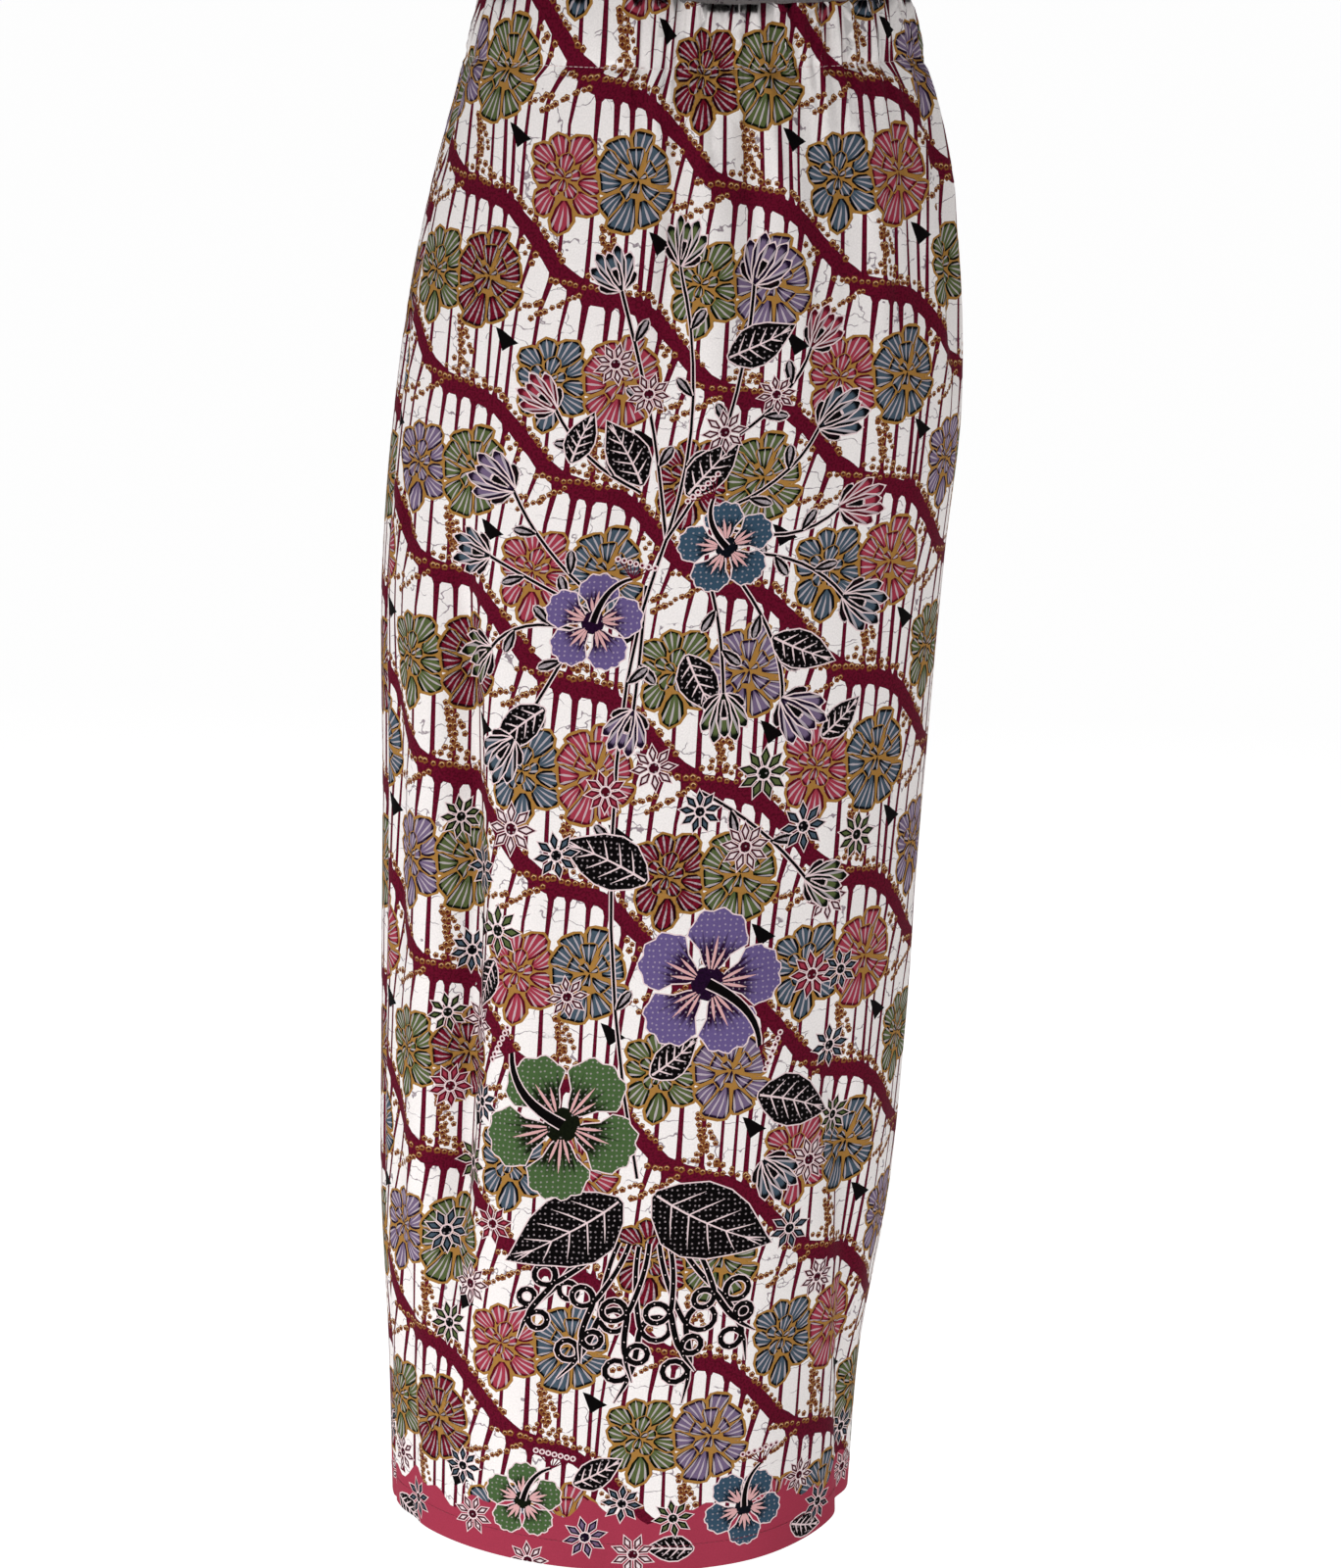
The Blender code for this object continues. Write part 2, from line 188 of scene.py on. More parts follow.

# %% [markdown]
# ## Fine creases, placed one by one
#
# Between the large folds real cotton has small creases: short pulls that start at the stitch
# line, long soft ones down the skirt and a little crumple where the hip meets the side seam.
# A cloth simulation could find some of them, but it would not find these ones, so each is a
# row of a short table, with a place, a length, a width and a height of its own.

# %% The fine creases
CREASES = {
    FRONT.name: (
        Fold(-0.012, -0.150, 0.340, 0.352, 0.360, 0.0060, 0.0026),
        Fold(-0.012, -0.110, 0.385, 0.388, 0.395, 0.0045, 0.0029),
        Fold(-0.012, -0.190, 0.448, 0.440, 0.430, 0.0060, 0.0042),
        Fold(-0.012, -0.090, 0.466, 0.468, 0.474, 0.0035, -0.0026),
        Fold(-0.012, -0.170, 0.525, 0.530, 0.540, 0.0055, -0.0032),
        Fold(-0.012, -0.100, 0.560, 0.562, 0.570, 0.0045, 0.0026),
        Fold(-0.012, -0.230, 0.598, 0.602, 0.600, 0.0060, 0.0029),
        Fold(-0.012, -0.120, 0.690, 0.694, 0.706, 0.0045, 0.0026),
        Fold(-0.012, -0.200, 0.735, 0.742, 0.752, 0.0060, -0.0029),
        Fold(-0.012, -0.140, 0.790, 0.796, 0.806, 0.0045, 0.0022),
        Fold(-0.012, -0.240, 0.850, 0.860, 0.880, 0.0070, -0.0029),
        Fold(-0.012, -0.130, 0.910, 0.914, 0.922, 0.0050, 0.0022),
        Fold(-0.170, -0.420, 0.560, 0.570, 0.560, 0.0110, -0.0016),
        Fold(-0.150, -0.430, 0.760, 0.780, 0.790, 0.0120, 0.0014),
        Fold(-0.250, -0.302, 0.015, 0.045, 0.085, 0.0050, 0.0018),
        Fold(-0.262, -0.318, 0.010, 0.040, 0.075, 0.0045, -0.0022),
        Fold(-0.290, -0.345, 0.020, 0.042, 0.070, 0.0050, 0.0016),
        Fold(-0.380, -0.640, 0.030, 0.050, 0.045, 0.0090, -0.0030),
        Fold(-0.450, -0.980, 0.345, 0.340, 0.325, 0.0150, -0.0018),
        Fold(-0.420, -0.900, 0.455, 0.462, 0.450, 0.0180, 0.0016),
        Fold(-0.640, -1.080, 0.430, 0.420, 0.410, 0.0130, -0.0018),
        Fold(-0.700, -1.080, 0.500, 0.510, 0.525, 0.0120, 0.0015),
        Fold(-0.650, -1.060, 0.060, 0.075, 0.070, 0.0100, -0.0026),
        Fold(-0.500, -0.930, 0.870, 0.910, 0.940, 0.0090, 0.0018),
    ),
    BACK.name: (
        Fold(-0.012, -0.150, 0.100, 0.106, 0.110, 0.0055, 0.0026),
        Fold(-0.012, -0.220, 0.180, 0.186, 0.200, 0.0065, -0.0032),
        Fold(-0.012, -0.110, 0.255, 0.258, 0.262, 0.0045, 0.0029),
        Fold(-0.012, -0.180, 0.370, 0.372, 0.380, 0.0060, -0.0029),
        Fold(-0.012, -0.130, 0.445, 0.446, 0.452, 0.0050, 0.0029),
        Fold(-0.012, -0.240, 0.520, 0.522, 0.515, 0.0065, -0.0035),
        Fold(-0.012, -0.120, 0.590, 0.586, 0.580, 0.0050, 0.0026),
        Fold(-0.012, -0.200, 0.755, 0.750, 0.740, 0.0060, 0.0029),
        Fold(-0.012, -0.160, 0.850, 0.846, 0.835, 0.0050, -0.0029),
        Fold(-0.230, -0.330, 0.420, 0.470, 0.520, 0.0080, 0.0018),
        Fold(-0.250, -0.350, 0.580, 0.540, 0.500, 0.0080, -0.0016),
        Fold(-0.450, -1.000, 0.100, 0.105, 0.095, 0.0130, -0.0020),
        Fold(-0.500, -1.060, 0.430, 0.425, 0.420, 0.0140, 0.0018),
        Fold(-0.480, -1.060, 0.590, 0.600, 0.610, 0.0140, -0.0018),
        Fold(-0.500, -1.060, 0.740, 0.745, 0.735, 0.0130, 0.0016),
        Fold(-0.560, -1.060, 0.910, 0.915, 0.925, 0.0120, -0.0020),
    ),
}
PUCKER_HEIGHT = 0.0008
PUCKER_FADE = 0.034
PUCKERS_PER_GATHER = 2.6
CASING_PUFF = 0.0012
STITCH_SINK = 0.0011
SEAM_SINK = 0.0012
SINK_WIDTH = 0.0028
print("fine creases:", {name: len(rows) for name, rows in CREASES.items()})

# %% [markdown]
# ## One formula for the whole surface
#
# All the waves and folds add up to one number: how far the cloth stands out from the bare
# figure. That keeps the front, the back and the casing on one continuous surface, so they
# meet at their seams. The stitch line and the side seams sink a little, as sewn lines do, and
# the casing puffs out between its edges because the elastic fills it.

# %% How far the cloth stands out
TABLE_HEIGHTS = np.linspace(SECTIONS[-1].height, SECTIONS[0].height, 120)
TABLE_SHARES = np.linspace(0.0, 1.0, 241)
TABLE_ANGLES = 721
TINY_SHARE = 0.0005


def eased(value):
    value = np.clip(value, 0.0, 1.0)
    return value * value * (3 - 2 * value)


def gather_step(panel, share):
    steps = np.linspace(0.0, 1.0, TABLE_ANGLES)
    drifted = steps + sum(size * np.sin(2 * math.pi * times * steps) for size, times in GATHER_DRIFTS)
    return np.interp((share - panel.plain_share) / (1 - panel.plain_share), drifted, steps)


def wave(panel, share, count):
    step = gather_step(panel, share)
    ends = eased((share - panel.plain_share) / GATHER_EDGE) * eased((1 - share) / GATHER_EDGE)
    size = 1 - GATHER_UNEVEN * (1 + np.sin(GATHER_SWELL * count * step + count)) / 2
    return ends * size * np.cos(2 * math.pi * count * step)


def one_fold(fold, width, share, height):
    down = (fold.top - height) / (fold.top - fold.bottom)
    reach = eased(down / FOLD_EASE) * eased((1 - down) / FOLD_EASE)
    at = np.clip(down, 0.0, 1.0)
    place = (
        fold.at_top * (1 - at) * (1 - 2 * at)
        + fold.at_middle * 4 * at * (1 - at)
        + fold.at_bottom * at * (2 * at - 1)
    )
    away = (share - place) * width / fold.half_width
    return fold.height * reach * np.exp(-(away**2))


def stand_out(panel, width, share, height):
    below = np.clip(STITCH_LINE - height, 0.0, None)
    out = GATHER_HEIGHT * np.exp(-below / GATHER_FADE) * wave(panel, share, panel.gathers)
    drapes = round(panel.gathers * DRAPE_SHARE)
    hang = eased((TOP_EDGE - height) / (TOP_EDGE - DRAPE_FULL_AT))
    hang = hang * eased((height - DRAPE_ENDS_AT) / (DRAPE_FULL_AT - DRAPE_ENDS_AT))
    out = out + DRAPE_HEIGHT * hang * wave(panel, share, drapes)
    puckers = round(panel.gathers * PUCKERS_PER_GATHER)
    out = out + PUCKER_HEIGHT * np.exp(-below / PUCKER_FADE) * wave(panel, share, puckers)
    for fold in FOLDS[panel.name] + CREASES[panel.name]:
        out = out + one_fold(fold, width, share, height)
    out = out * eased(share / GATHER_EDGE) * eased((1 - share) / GATHER_EDGE)
    puff = np.clip((height - STITCH_LINE) / CASING_HEIGHT, 0.0, 1.0)
    out = out + CASING_PUFF * np.sin(math.pi * puff)
    out = out - STITCH_SINK * np.exp(-(((height - STITCH_LINE) / SINK_WIDTH) ** 2))
    from_seam = np.minimum(share, 1 - share) * width
    return out - SEAM_SINK * np.exp(-((from_seam / SINK_WIDTH) ** 2))


print("heights that stand out:", GATHER_HEIGHT, DRAPE_HEIGHT, PUCKER_HEIGHT)

# %% [markdown]
# ## From a flat cloth to the worn shape
#
# A print is drawn flat, so each point needs flat cloth coordinates: u along the cloth, in
# metres from the middle of the panel, and v for the height. Measuring the folded surface row
# by row tells which share of the panel lies at each u. The table is then read backwards, and
# a drawing on flat cloth can be laid on the worn one with hardly any stretch.

# %% Laying flat cloth on the folds
ROW_STEP = 0.0025
ACROSS = np.linspace(-0.275, 0.275, 1101)
MEASURED_SHARES = np.linspace(0.0, 1.0, 1401)
Layout = namedtuple("Layout", "panel widths angles heights shares left right")


def measure_figure(panel):
    angle = np.linspace(panel.first_seam, panel.second_seam, TABLE_ANGLES)
    widths, angles = [], []
    for height in TABLE_HEIGHTS:
        x, y = figure_outline(np.full_like(angle, height), angle)
        along = np.concatenate(([0.0], np.cumsum(np.hypot(np.diff(x), np.diff(y)))))
        widths.append(along[-1])
        angles.append(np.interp(TABLE_SHARES * along[-1], along, angle))
    return np.array(widths), np.array(angles)


def read_table(table, rows, columns, height, place):
    """Reads a table between its rows and columns, which are evenly spaced."""
    up = np.clip((height - rows[0]) / (rows[1] - rows[0]), 0, len(rows) - 1.000001)
    side = np.clip((place - columns[0]) / (columns[1] - columns[0]), 0, len(columns) - 1.000001)
    low, left = up.astype(int), side.astype(int)
    up, side = up - low, side - left
    lower = table[low, left] * (1 - side) + table[low, left + 1] * side
    upper = table[low + 1, left] * (1 - side) + table[low + 1, left + 1] * side
    return lower * (1 - up) + upper * up


def turned_out(ahead, behind):
    along = ahead - behind
    along = along / np.linalg.norm(along, axis=-1, keepdims=True)
    return np.stack((along[..., 1], -along[..., 0]), axis=-1)


def bare_point(panel, angles, share, height):
    angle = read_table(angles, TABLE_HEIGHTS, TABLE_SHARES, height, share)
    return np.stack(figure_outline(height, angle), axis=-1)


def folded_point(panel, widths, angles, share, height):
    here = bare_point(panel, angles, share, height)
    ahead = bare_point(panel, angles, np.minimum(share + TINY_SHARE, 1.0), height)
    behind = bare_point(panel, angles, np.maximum(share - TINY_SHARE, 0.0), height)
    width = np.interp(height, TABLE_HEIGHTS, widths)
    return here + turned_out(ahead, behind) * stand_out(panel, width, share, height)[..., None]


def lay_out(panel):
    widths, angles = measure_figure(panel)
    heights = np.arange(SECTIONS[-1].height, TOP_EDGE + ROW_STEP, ROW_STEP)
    shares, left, right = [], [], []
    for height in heights:
        level = np.full_like(MEASURED_SHARES, height)
        line = folded_point(panel, widths, angles, MEASURED_SHARES, level)
        along = np.concatenate(([0.0], np.cumsum(np.hypot(*np.diff(line, axis=0).T))))
        along = along - np.interp(0.5, MEASURED_SHARES, along)
        shares.append(np.interp(ACROSS, along, MEASURED_SHARES))
        left.append(along[0])
        right.append(along[-1])
    found = map(np.array, (heights, shares, left, right))
    return Layout(panel, widths, angles, *found)


layouts = [lay_out(FRONT), lay_out(BACK)]
for layout in layouts:
    wide = layout.right - layout.left
    print(layout.panel.name, "flat width from", round(min(wide), 3), "to", round(max(wide), 3), "m")

# %% [markdown]
# ## Points and directions on the worn cloth
#
# Smooth shading needs a direction for each point. Blender can average the faces around a
# point, but a printed sheet is cut into long thin faces and the average would be rough. Here
# the direction comes from the formula too, from two tiny steps across and two down. Above
# the top edge the cloth rolls over the elastic, so the last few millimetres turn round a
# small arc.

# %% Worn points
TINY_DROP = 0.0006
ROLL = 0.0008
CORNER_RISE = 0.005


def corner_rise(panel, share, height):
    """The casing stands a little higher towards the first seam, and evens out to the other."""
    up = eased((height - STITCH_LINE) / CASING_HEIGHT)
    if panel is FRONT:
        return CORNER_RISE * up * eased((0.52 - share) / 0.24)
    return CORNER_RISE * up * eased((share - 0.75) / 0.25)


def worn(layout, u, v):
    """Points on the outer face and the directions that point out of it."""
    panel, widths, angles = layout[:3]
    over = np.clip(v - TOP_EDGE, 0.0, None) / ROLL
    v = np.minimum(v, TOP_EDGE)
    share = read_table(layout.shares, layout.heights, ACROSS, v, u)

    def at(share, height):
        return folded_point(panel, widths, angles, np.clip(share, 0.0, 1.0), height)

    point = at(share, v)
    across = at(share + TINY_SHARE, v) - at(share - TINY_SHARE, v)
    upper, lower = np.minimum(v + TINY_DROP, TOP_EDGE), v - TINY_DROP
    up = np.column_stack((at(share, upper) - at(share, lower), upper - lower))
    out = np.cross(np.column_stack((across, np.zeros(len(u)))), up)
    out = out / np.linalg.norm(out, axis=1, keepdims=True)
    level = out * (1, 1, 0)
    level = level / np.linalg.norm(level, axis=1, keepdims=True)
    turn = over[:, None]
    rolled = level * np.cos(turn) + np.sin(turn) * np.array((0, 0, 1))
    where = np.column_stack((point, v + corner_rise(panel, share, v)))
    where = where + (rolled - level) * ROLL
    return where, np.where(turn > 0, rolled, out)


middle, facing = worn(layouts[0], np.array([0.0]), np.array([-0.3]))
print("the front's middle at 0.3 m down:", middle.round(3), facing.round(2))

# %% [markdown]
# ## The dyes
#
# Batik is drawn in wax and dyed in steps, so the cloth has only a few colours, each flat with
# a dark edge where dye gathered and pale strokes where wax kept it out. The table names them
# once, as they look on screen, and a small function turns them into the linear values that
# Blender's shaders expect.

# %% The palette
Dye = namedtuple("Dye", "red green blue")
DYES = {
    "ground": Dye(250, 244, 242),
    "maroon": Dye(103, 11, 39),
    "gold": Dye(168, 122, 60),
    "bead": Dye(132, 78, 38),
    "black": Dye(5, 2, 3),
    "outline": Dye(236, 212, 214),
    "border rose": Dye(166, 56, 78),
    "ray": Dye(222, 172, 172),
}
Petals = namedtuple("Petals", "edge body")
PETALS = {
    "green": Petals(Dye(4, 10, 2), Dye(86, 98, 58)),
    "blue": Petals(Dye(2, 2, 6), Dye(70, 86, 100)),
    "rose": Petals(Dye(84, 6, 26), Dye(162, 56, 74)),
    "lavender": Petals(Dye(24, 8, 34), Dye(116, 98, 128)),
    "maroon": Petals(Dye(36, 0, 8), Dye(116, 14, 36)),
    "white": Petals(Dye(70, 4, 26), Dye(236, 220, 222)),
    "leaf": Petals(Dye(5, 2, 3), Dye(36, 8, 18)),
    "violet bloom": Petals(Dye(34, 6, 40), Dye(104, 88, 138)),
    "green bloom": Petals(Dye(14, 20, 6), Dye(72, 98, 58)),
    "blue bloom": Petals(Dye(8, 12, 22), Dye(54, 78, 98)),
}


def linear(dye):
    """A screen colour as the linear numbers that a shader takes."""
    share = np.array(dye) / 255
    return np.where(share < 0.04045, share / 12.92, ((share + 0.055) / 1.055) ** 2.4)


print(len(DYES), "plain dyes and", len(PETALS), "kinds of petal")

# %% [markdown]
# ## A sheet of shapes
#
# The print is kept as a list of flat shapes in the order in which they are painted: a later
# one covers an earlier one, as with cut paper. Cutting every pale stroke into the cloth would
# take too many faces, so each shape also remembers a small frame of its own: where it stands,
# how it is turned, and how long and wide it is. From that frame the material draws what lies
# inside the shape, such as a petal's dark edge and strokes, or the eye of a ring. Shapes that
# show on the paler inside of the cloth are marked too.

# %% Painting in order
Frame = namedtuple("Frame", "x y turn long wide bend", defaults=(0.0,))
Shape = namedtuple("Shape", "points dye edge line touch petal frame shows_through")
NO_FRAME = Frame(0.0, 0.0, 0.0, 1.0, 1.0)
PLAIN = (0.0, 0.0, 0.0)
RING = (1.0, 0.0, 0.0)
HEARTED = (0.0, 1.0, 0.0)
DOTTED = (0.0, 0.0, 1.0)


class PrintedSheet:
    """All the shapes printed on one panel, first the lowest."""

    def __init__(self):
        self.shapes = []

    def paint(self, points, dye, edge=None, line=None, touch=PLAIN, petal=PLAIN, frame=NO_FRAME, through=False):
        points = np.asarray(points, dtype=float)
        x, y = points.T
        turning = np.sum(x * np.roll(y, -1) - y * np.roll(x, -1))
        if turning < 0:
            points = points[::-1]
        self.shapes.append(Shape(points, dye, edge or dye, line or dye, touch, petal, frame, through))


def moved_out(points, distance):
    """A closed outline moved out by a distance, or in where it is negative."""
    points = np.asarray(points, dtype=float)
    x, y = points.T
    sign = 1.0 if np.sum(x * np.roll(y, -1) - y * np.roll(x, -1)) > 0 else -1.0
    ahead = np.roll(points, -1, axis=0) - points
    ahead = ahead / np.maximum(np.linalg.norm(ahead, axis=1, keepdims=True), 1e-9)
    both = ahead + np.roll(ahead, 1, axis=0)
    both = both / np.maximum(np.linalg.norm(both, axis=1, keepdims=True), 0.5)
    return points + sign * distance * np.column_stack((both[:, 1], -both[:, 0]))


def placed(points, x, y, turn=0.0, size=1.0, mirror=1.0):
    """Points that are scaled, turned and moved."""
    points = np.asarray(points, dtype=float) * (size, size * mirror)
    c, s = math.cos(turn), math.sin(turn)
    return points @ np.array(((c, s), (-s, c))) + (x, y)


def round_shape(radius, count, stretch=1.0):
    turn = np.arange(count) * 2 * math.pi / count
    return np.column_stack((np.cos(turn) * radius, np.sin(turn) * radius * stretch))


print("a sheet starts with no shapes, and each paint() adds one")

# %% [markdown]
# ## The petals of the ground flowers
#
# The ground of the cloth is a common repeat of two flowers: one with pointed petals and one
# with round, fan-like petals. A petal is a profile, a row of half widths along its length.
# Only this outline is cut. Its gold line, dark edge and pale strokes are drawn by the material,
# which reads the same profile. The tables below make the petals slightly unequal, as the hand
# of a waxer would.

# %% Petal outlines
FAN = ((0.0, 0.34), (0.70, 1.0), (0.91, 0.92), (1.0, 0.44))
POINTED = ((0.0, 0.34), (0.24, 0.78), (0.58, 1.0), (0.84, 0.70), (1.0, 0.0))
SLIM = ((0.0, 0.34), (0.46, 1.0), (1.0, 0.0))
SLIM_MARK = -1.0
Petal = namedtuple("Petal", "x y turn start end half_width profile strokes bend", defaults=(0.0,))


def petal_outline(petal):
    other = [(at, -half) for at, half in reversed(petal.profile) if half > 0]
    at, half = np.array([*petal.profile, *other]).T
    long = petal.start + (petal.end - petal.start) * at
    wide = petal.half_width * (half + petal.bend * at**2)
    return placed(np.column_stack((long, wide)), petal.x, petal.y, petal.turn)


def paint_petals(sheet, petals, dyes, line, x=0.0, y=0.0):
    for petal in petals:
        foot = placed(((petal.start, 0.0),), petal.x + x, petal.y + y, petal.turn)[0]
        stand = Frame(*foot, petal.turn, petal.end - petal.start, petal.half_width, petal.bend)
        strokes = SLIM_MARK if petal.profile is SLIM else petal.strokes
        kind = (float(petal.profile is FAN), float(petal.profile is POINTED), strokes)
        outline = petal_outline(petal) + (x, y)
        sheet.paint(outline, dyes.body, dyes.edge, line, petal=kind, frame=stand)


print("petal profiles:", len(FAN), len(POINTED), "and", len(SLIM), "points along each side")

# %% [markdown]
# ## Two ground flowers
#
# The pointed flower has nine broad outer petals over a few inner ones. The round flower has
# ten fans round a loose tuft. The petals nearly touch, so their gold lines make a net, and a
# gold rim runs round the whole flower. Each row gives a petal's turn, its start and end as
# shares of the flower's reach, its half width and its strokes, all a little uneven.

# %% The two flowers
FLOWER_WIDE = 0.0245
FLOWER_TALL = 0.0305
GOLD_RIM = 0.0011
PETAL_BEND = 0.42
BEND_TURNS = 3.7
CORE_SHARE = 0.74
POINTED_OUTER = (
    (0.50, 0.42, 1.00, 0.29, 4),
    (1.14, 0.38, 1.06, 0.32, 4),
    (1.72, 0.44, 0.94, 0.25, 3),
    (2.26, 0.42, 1.02, 0.29, 4),
    (3.02, 0.36, 0.94, 0.28, 3),
    (3.86, 0.34, 1.00, 0.33, 4),
    (4.72, 0.40, 1.10, 0.27, 3),
    (5.46, 0.36, 1.05, 0.31, 4),
    (6.14, 0.34, 0.99, 0.26, 3),
)
POINTED_INNER = (
    (0.20, 0.10, 0.50, 0.19, 2),
    (1.45, 0.08, 0.54, 0.20, 3),
    (2.50, 0.12, 0.54, 0.19, 2),
    (3.90, 0.06, 0.48, 0.20, 2),
    (5.20, 0.10, 0.50, 0.19, 3),
)
ROUND_OUTER = (
    (0.18, 0.38, 0.99, 0.30, 4),
    (0.86, 0.40, 0.94, 0.29, 3),
    (1.42, 0.44, 1.05, 0.25, 3),
    (1.95, 0.40, 0.97, 0.28, 4),
    (2.55, 0.36, 0.99, 0.31, 4),
    (3.22, 0.38, 0.94, 0.30, 3),
    (3.86, 0.40, 1.00, 0.29, 4),
    (4.48, 0.32, 1.06, 0.31, 4),
    (5.10, 0.40, 0.95, 0.27, 3),
    (5.68, 0.39, 1.02, 0.29, 4),
)
ROUND_INNER = (
    (0.55, 0.14, 0.56, 0.21, 3),
    (1.62, 0.18, 0.66, 0.20, 3),
    (2.70, 0.12, 0.58, 0.21, 3),
    (3.80, 0.08, 0.50, 0.20, 2),
    (5.45, 0.12, 0.56, 0.20, 3),
)
TUFT = (
    (0.30, 0.00, 0.26, 0.11, 1),
    (2.20, 0.00, 0.28, 0.12, 2),
    (4.60, 0.02, 0.32, 0.12, 2),
)


def uneven_petals(rows, profile, x=0.0, y=0.0):
    """Petals round an ellipse, from rows of turn, start, end, half width and strokes."""
    petals = []
    for turn, start, end, half_width, strokes in rows:
        reach = math.hypot(FLOWER_WIDE * math.cos(turn), FLOWER_TALL * math.sin(turn))
        size = (start * reach, end * reach, half_width * reach)
        petals.append(Petal(x, y, turn, *size, profile, strokes, PETAL_BEND * math.sin(BEND_TURNS * turn)))
    return petals


POINTED_FLOWER = (
    uneven_petals(POINTED_OUTER, POINTED),
    uneven_petals(POINTED_INNER, POINTED, -0.0012, 0.0012),
    uneven_petals(TUFT, POINTED, -0.0008, 0.0016),
)
ROUND_FLOWER = (
    uneven_petals(ROUND_OUTER, FAN),
    uneven_petals(ROUND_INNER, FAN, 0.0008, 0.0014),
    uneven_petals(TUFT, FAN, 0.0014, 0.0020),
)


def paint_flower(sheet, tiers, dyes, x, y):
    for petal in tiers[0]:
        sheet.paint(moved_out(petal_outline(petal) + (x, y), GOLD_RIM), DYES["gold"])
    core = round_shape(1.0, 12) * (FLOWER_WIDE * CORE_SHARE, FLOWER_TALL * CORE_SHARE) + (x, y)
    sheet.paint(core, DYES["gold"])
    for petals in tiers:
        paint_petals(sheet, petals, dyes, DYES["gold"], x, y)


def paint_ghost(sheet, dyes, x, y):
    """One patch of colour that shows on the inside of the cloth, under the flower."""
    patch = round_shape(1.0, 16) * (FLOWER_WIDE * 0.80, FLOWER_TALL * 0.80) + (x, y)
    sheet.paint(patch, dyes.body, through=True)


print("pointed flower:", sum(map(len, POINTED_FLOWER)), "petals, round flower:", sum(map(len, ROUND_FLOWER)))

# %% [markdown]
# ## Where the repeat falls
#
# The flowers stand in pairs on a slanting lattice: one step to the right is also half a row
# down. Four rows later the colours start again. The same lattice carries the wavy maroon
# bands, whose crests stand over the round flowers. Lattice points are worked out by a loop,
# so the repeat is exact, as on printed cloth.

# %% The lattice
STEP_ACROSS = 0.094
HALF_ROW = 0.063
PAIR_SPREAD = 0.0225
CREST_FROM_PAIR = (0.016, 0.0535)
ORIGINS = {FRONT.name: (0.004, -0.024), BACK.name: (0.031, -0.041)}
PAIR_DYES = (
    (("maroon", "green"), ("lavender", "green")),
    (("rose", "blue"), ("blue", "rose")),
    (("green", "lavender"), ("green", "maroon")),
    (("blue", "rose"), ("rose", "blue")),
)
Pair = namedtuple("Pair", "x y left right")


def pairs_on(name):
    origin_x, origin_y = ORIGINS[name]
    found = []
    for row in range(-2, 18):
        for column in range(-4, 5):
            if (row + column) % 2:
                continue
            choice = ((column + row % 2) // 2) % 2
            left, right = PAIR_DYES[row % 4][choice]
            x, y = origin_x + column * STEP_ACROSS, origin_y - row * HALF_ROW
            found.append(Pair(x, y, left, right))
    return found


print("pairs on the front sheet:", len(pairs_on(FRONT.name)))

# %% [markdown]
# ## Wavy bands and their ribs
#
# Each maroon band falls one half row in every step, gently at its crest and steeply between.
# From its lower edge thin ribs run down to the next band, flared at both ends, so that the
# white ground between them shows as tall round-ended cells. A short table gives the band's
# fall and thickness within one step, and the loop repeats it.

# %% Bands and ribs
Bend = namedtuple("Bend", "along drop thickness")
BENDS = (
    Bend(-0.26, -0.110, 0.0122),
    Bend(-0.10, -0.035, 0.0130),
    Bend(0.00, 0.000, 0.0112),
    Bend(0.19, 0.115, 0.0098),
    Bend(0.41, 0.420, 0.0100),
    Bend(0.57, 0.690, 0.0106),
    Bend(0.74, 0.890, 0.0122),
    Bend(0.90, 0.965, 0.0130),
    Bend(1.00, 1.000, 0.0112),
    Bend(1.19, 1.115, 0.0098),
)
RIBS_PER_STEP = 8
RIB_HALF = 0.00118
RIB_SHARES = np.array((0.0, 0.07, 0.30, 0.62, 0.93, 1.0))
BAND_SAMPLES = 14
BAND_GAP = 2 * HALF_ROW


def band_at(along, column):
    """The band's middle line, or its thickness, at a number of steps along it."""
    whole = np.floor(along)
    table = np.array(BENDS)
    read = smooth_read(table[:, 0], table[:, column], along - whole)
    return read + whole if column == 1 else read


def band_point(crest, along):
    wobble = 0.0005 * np.sin(along * 23.0 + crest[1] * 60)
    return np.array((crest[0] + along * STEP_ACROSS, crest[1] - band_at(along, 1) * HALF_ROW + wobble))


def paint_band(sheet, crest, steps):
    along = np.linspace(-steps, steps, 2 * steps * BAND_SAMPLES + 1)
    middle = band_point(crest, along).T
    lean = np.gradient(middle, axis=0)
    lean = lean / np.linalg.norm(lean, axis=1, keepdims=True)
    side = np.column_stack((-lean[:, 1], lean[:, 0]))
    half = band_at(along, 2)[:, None] / 2
    ragged = 0.00035 * np.sin(along * 41.0)[:, None]
    edge = np.concatenate((middle + side * (half + ragged), (middle - side * (half - ragged))[::-1]))
    sheet.paint(edge, DYES["maroon"], through=True)


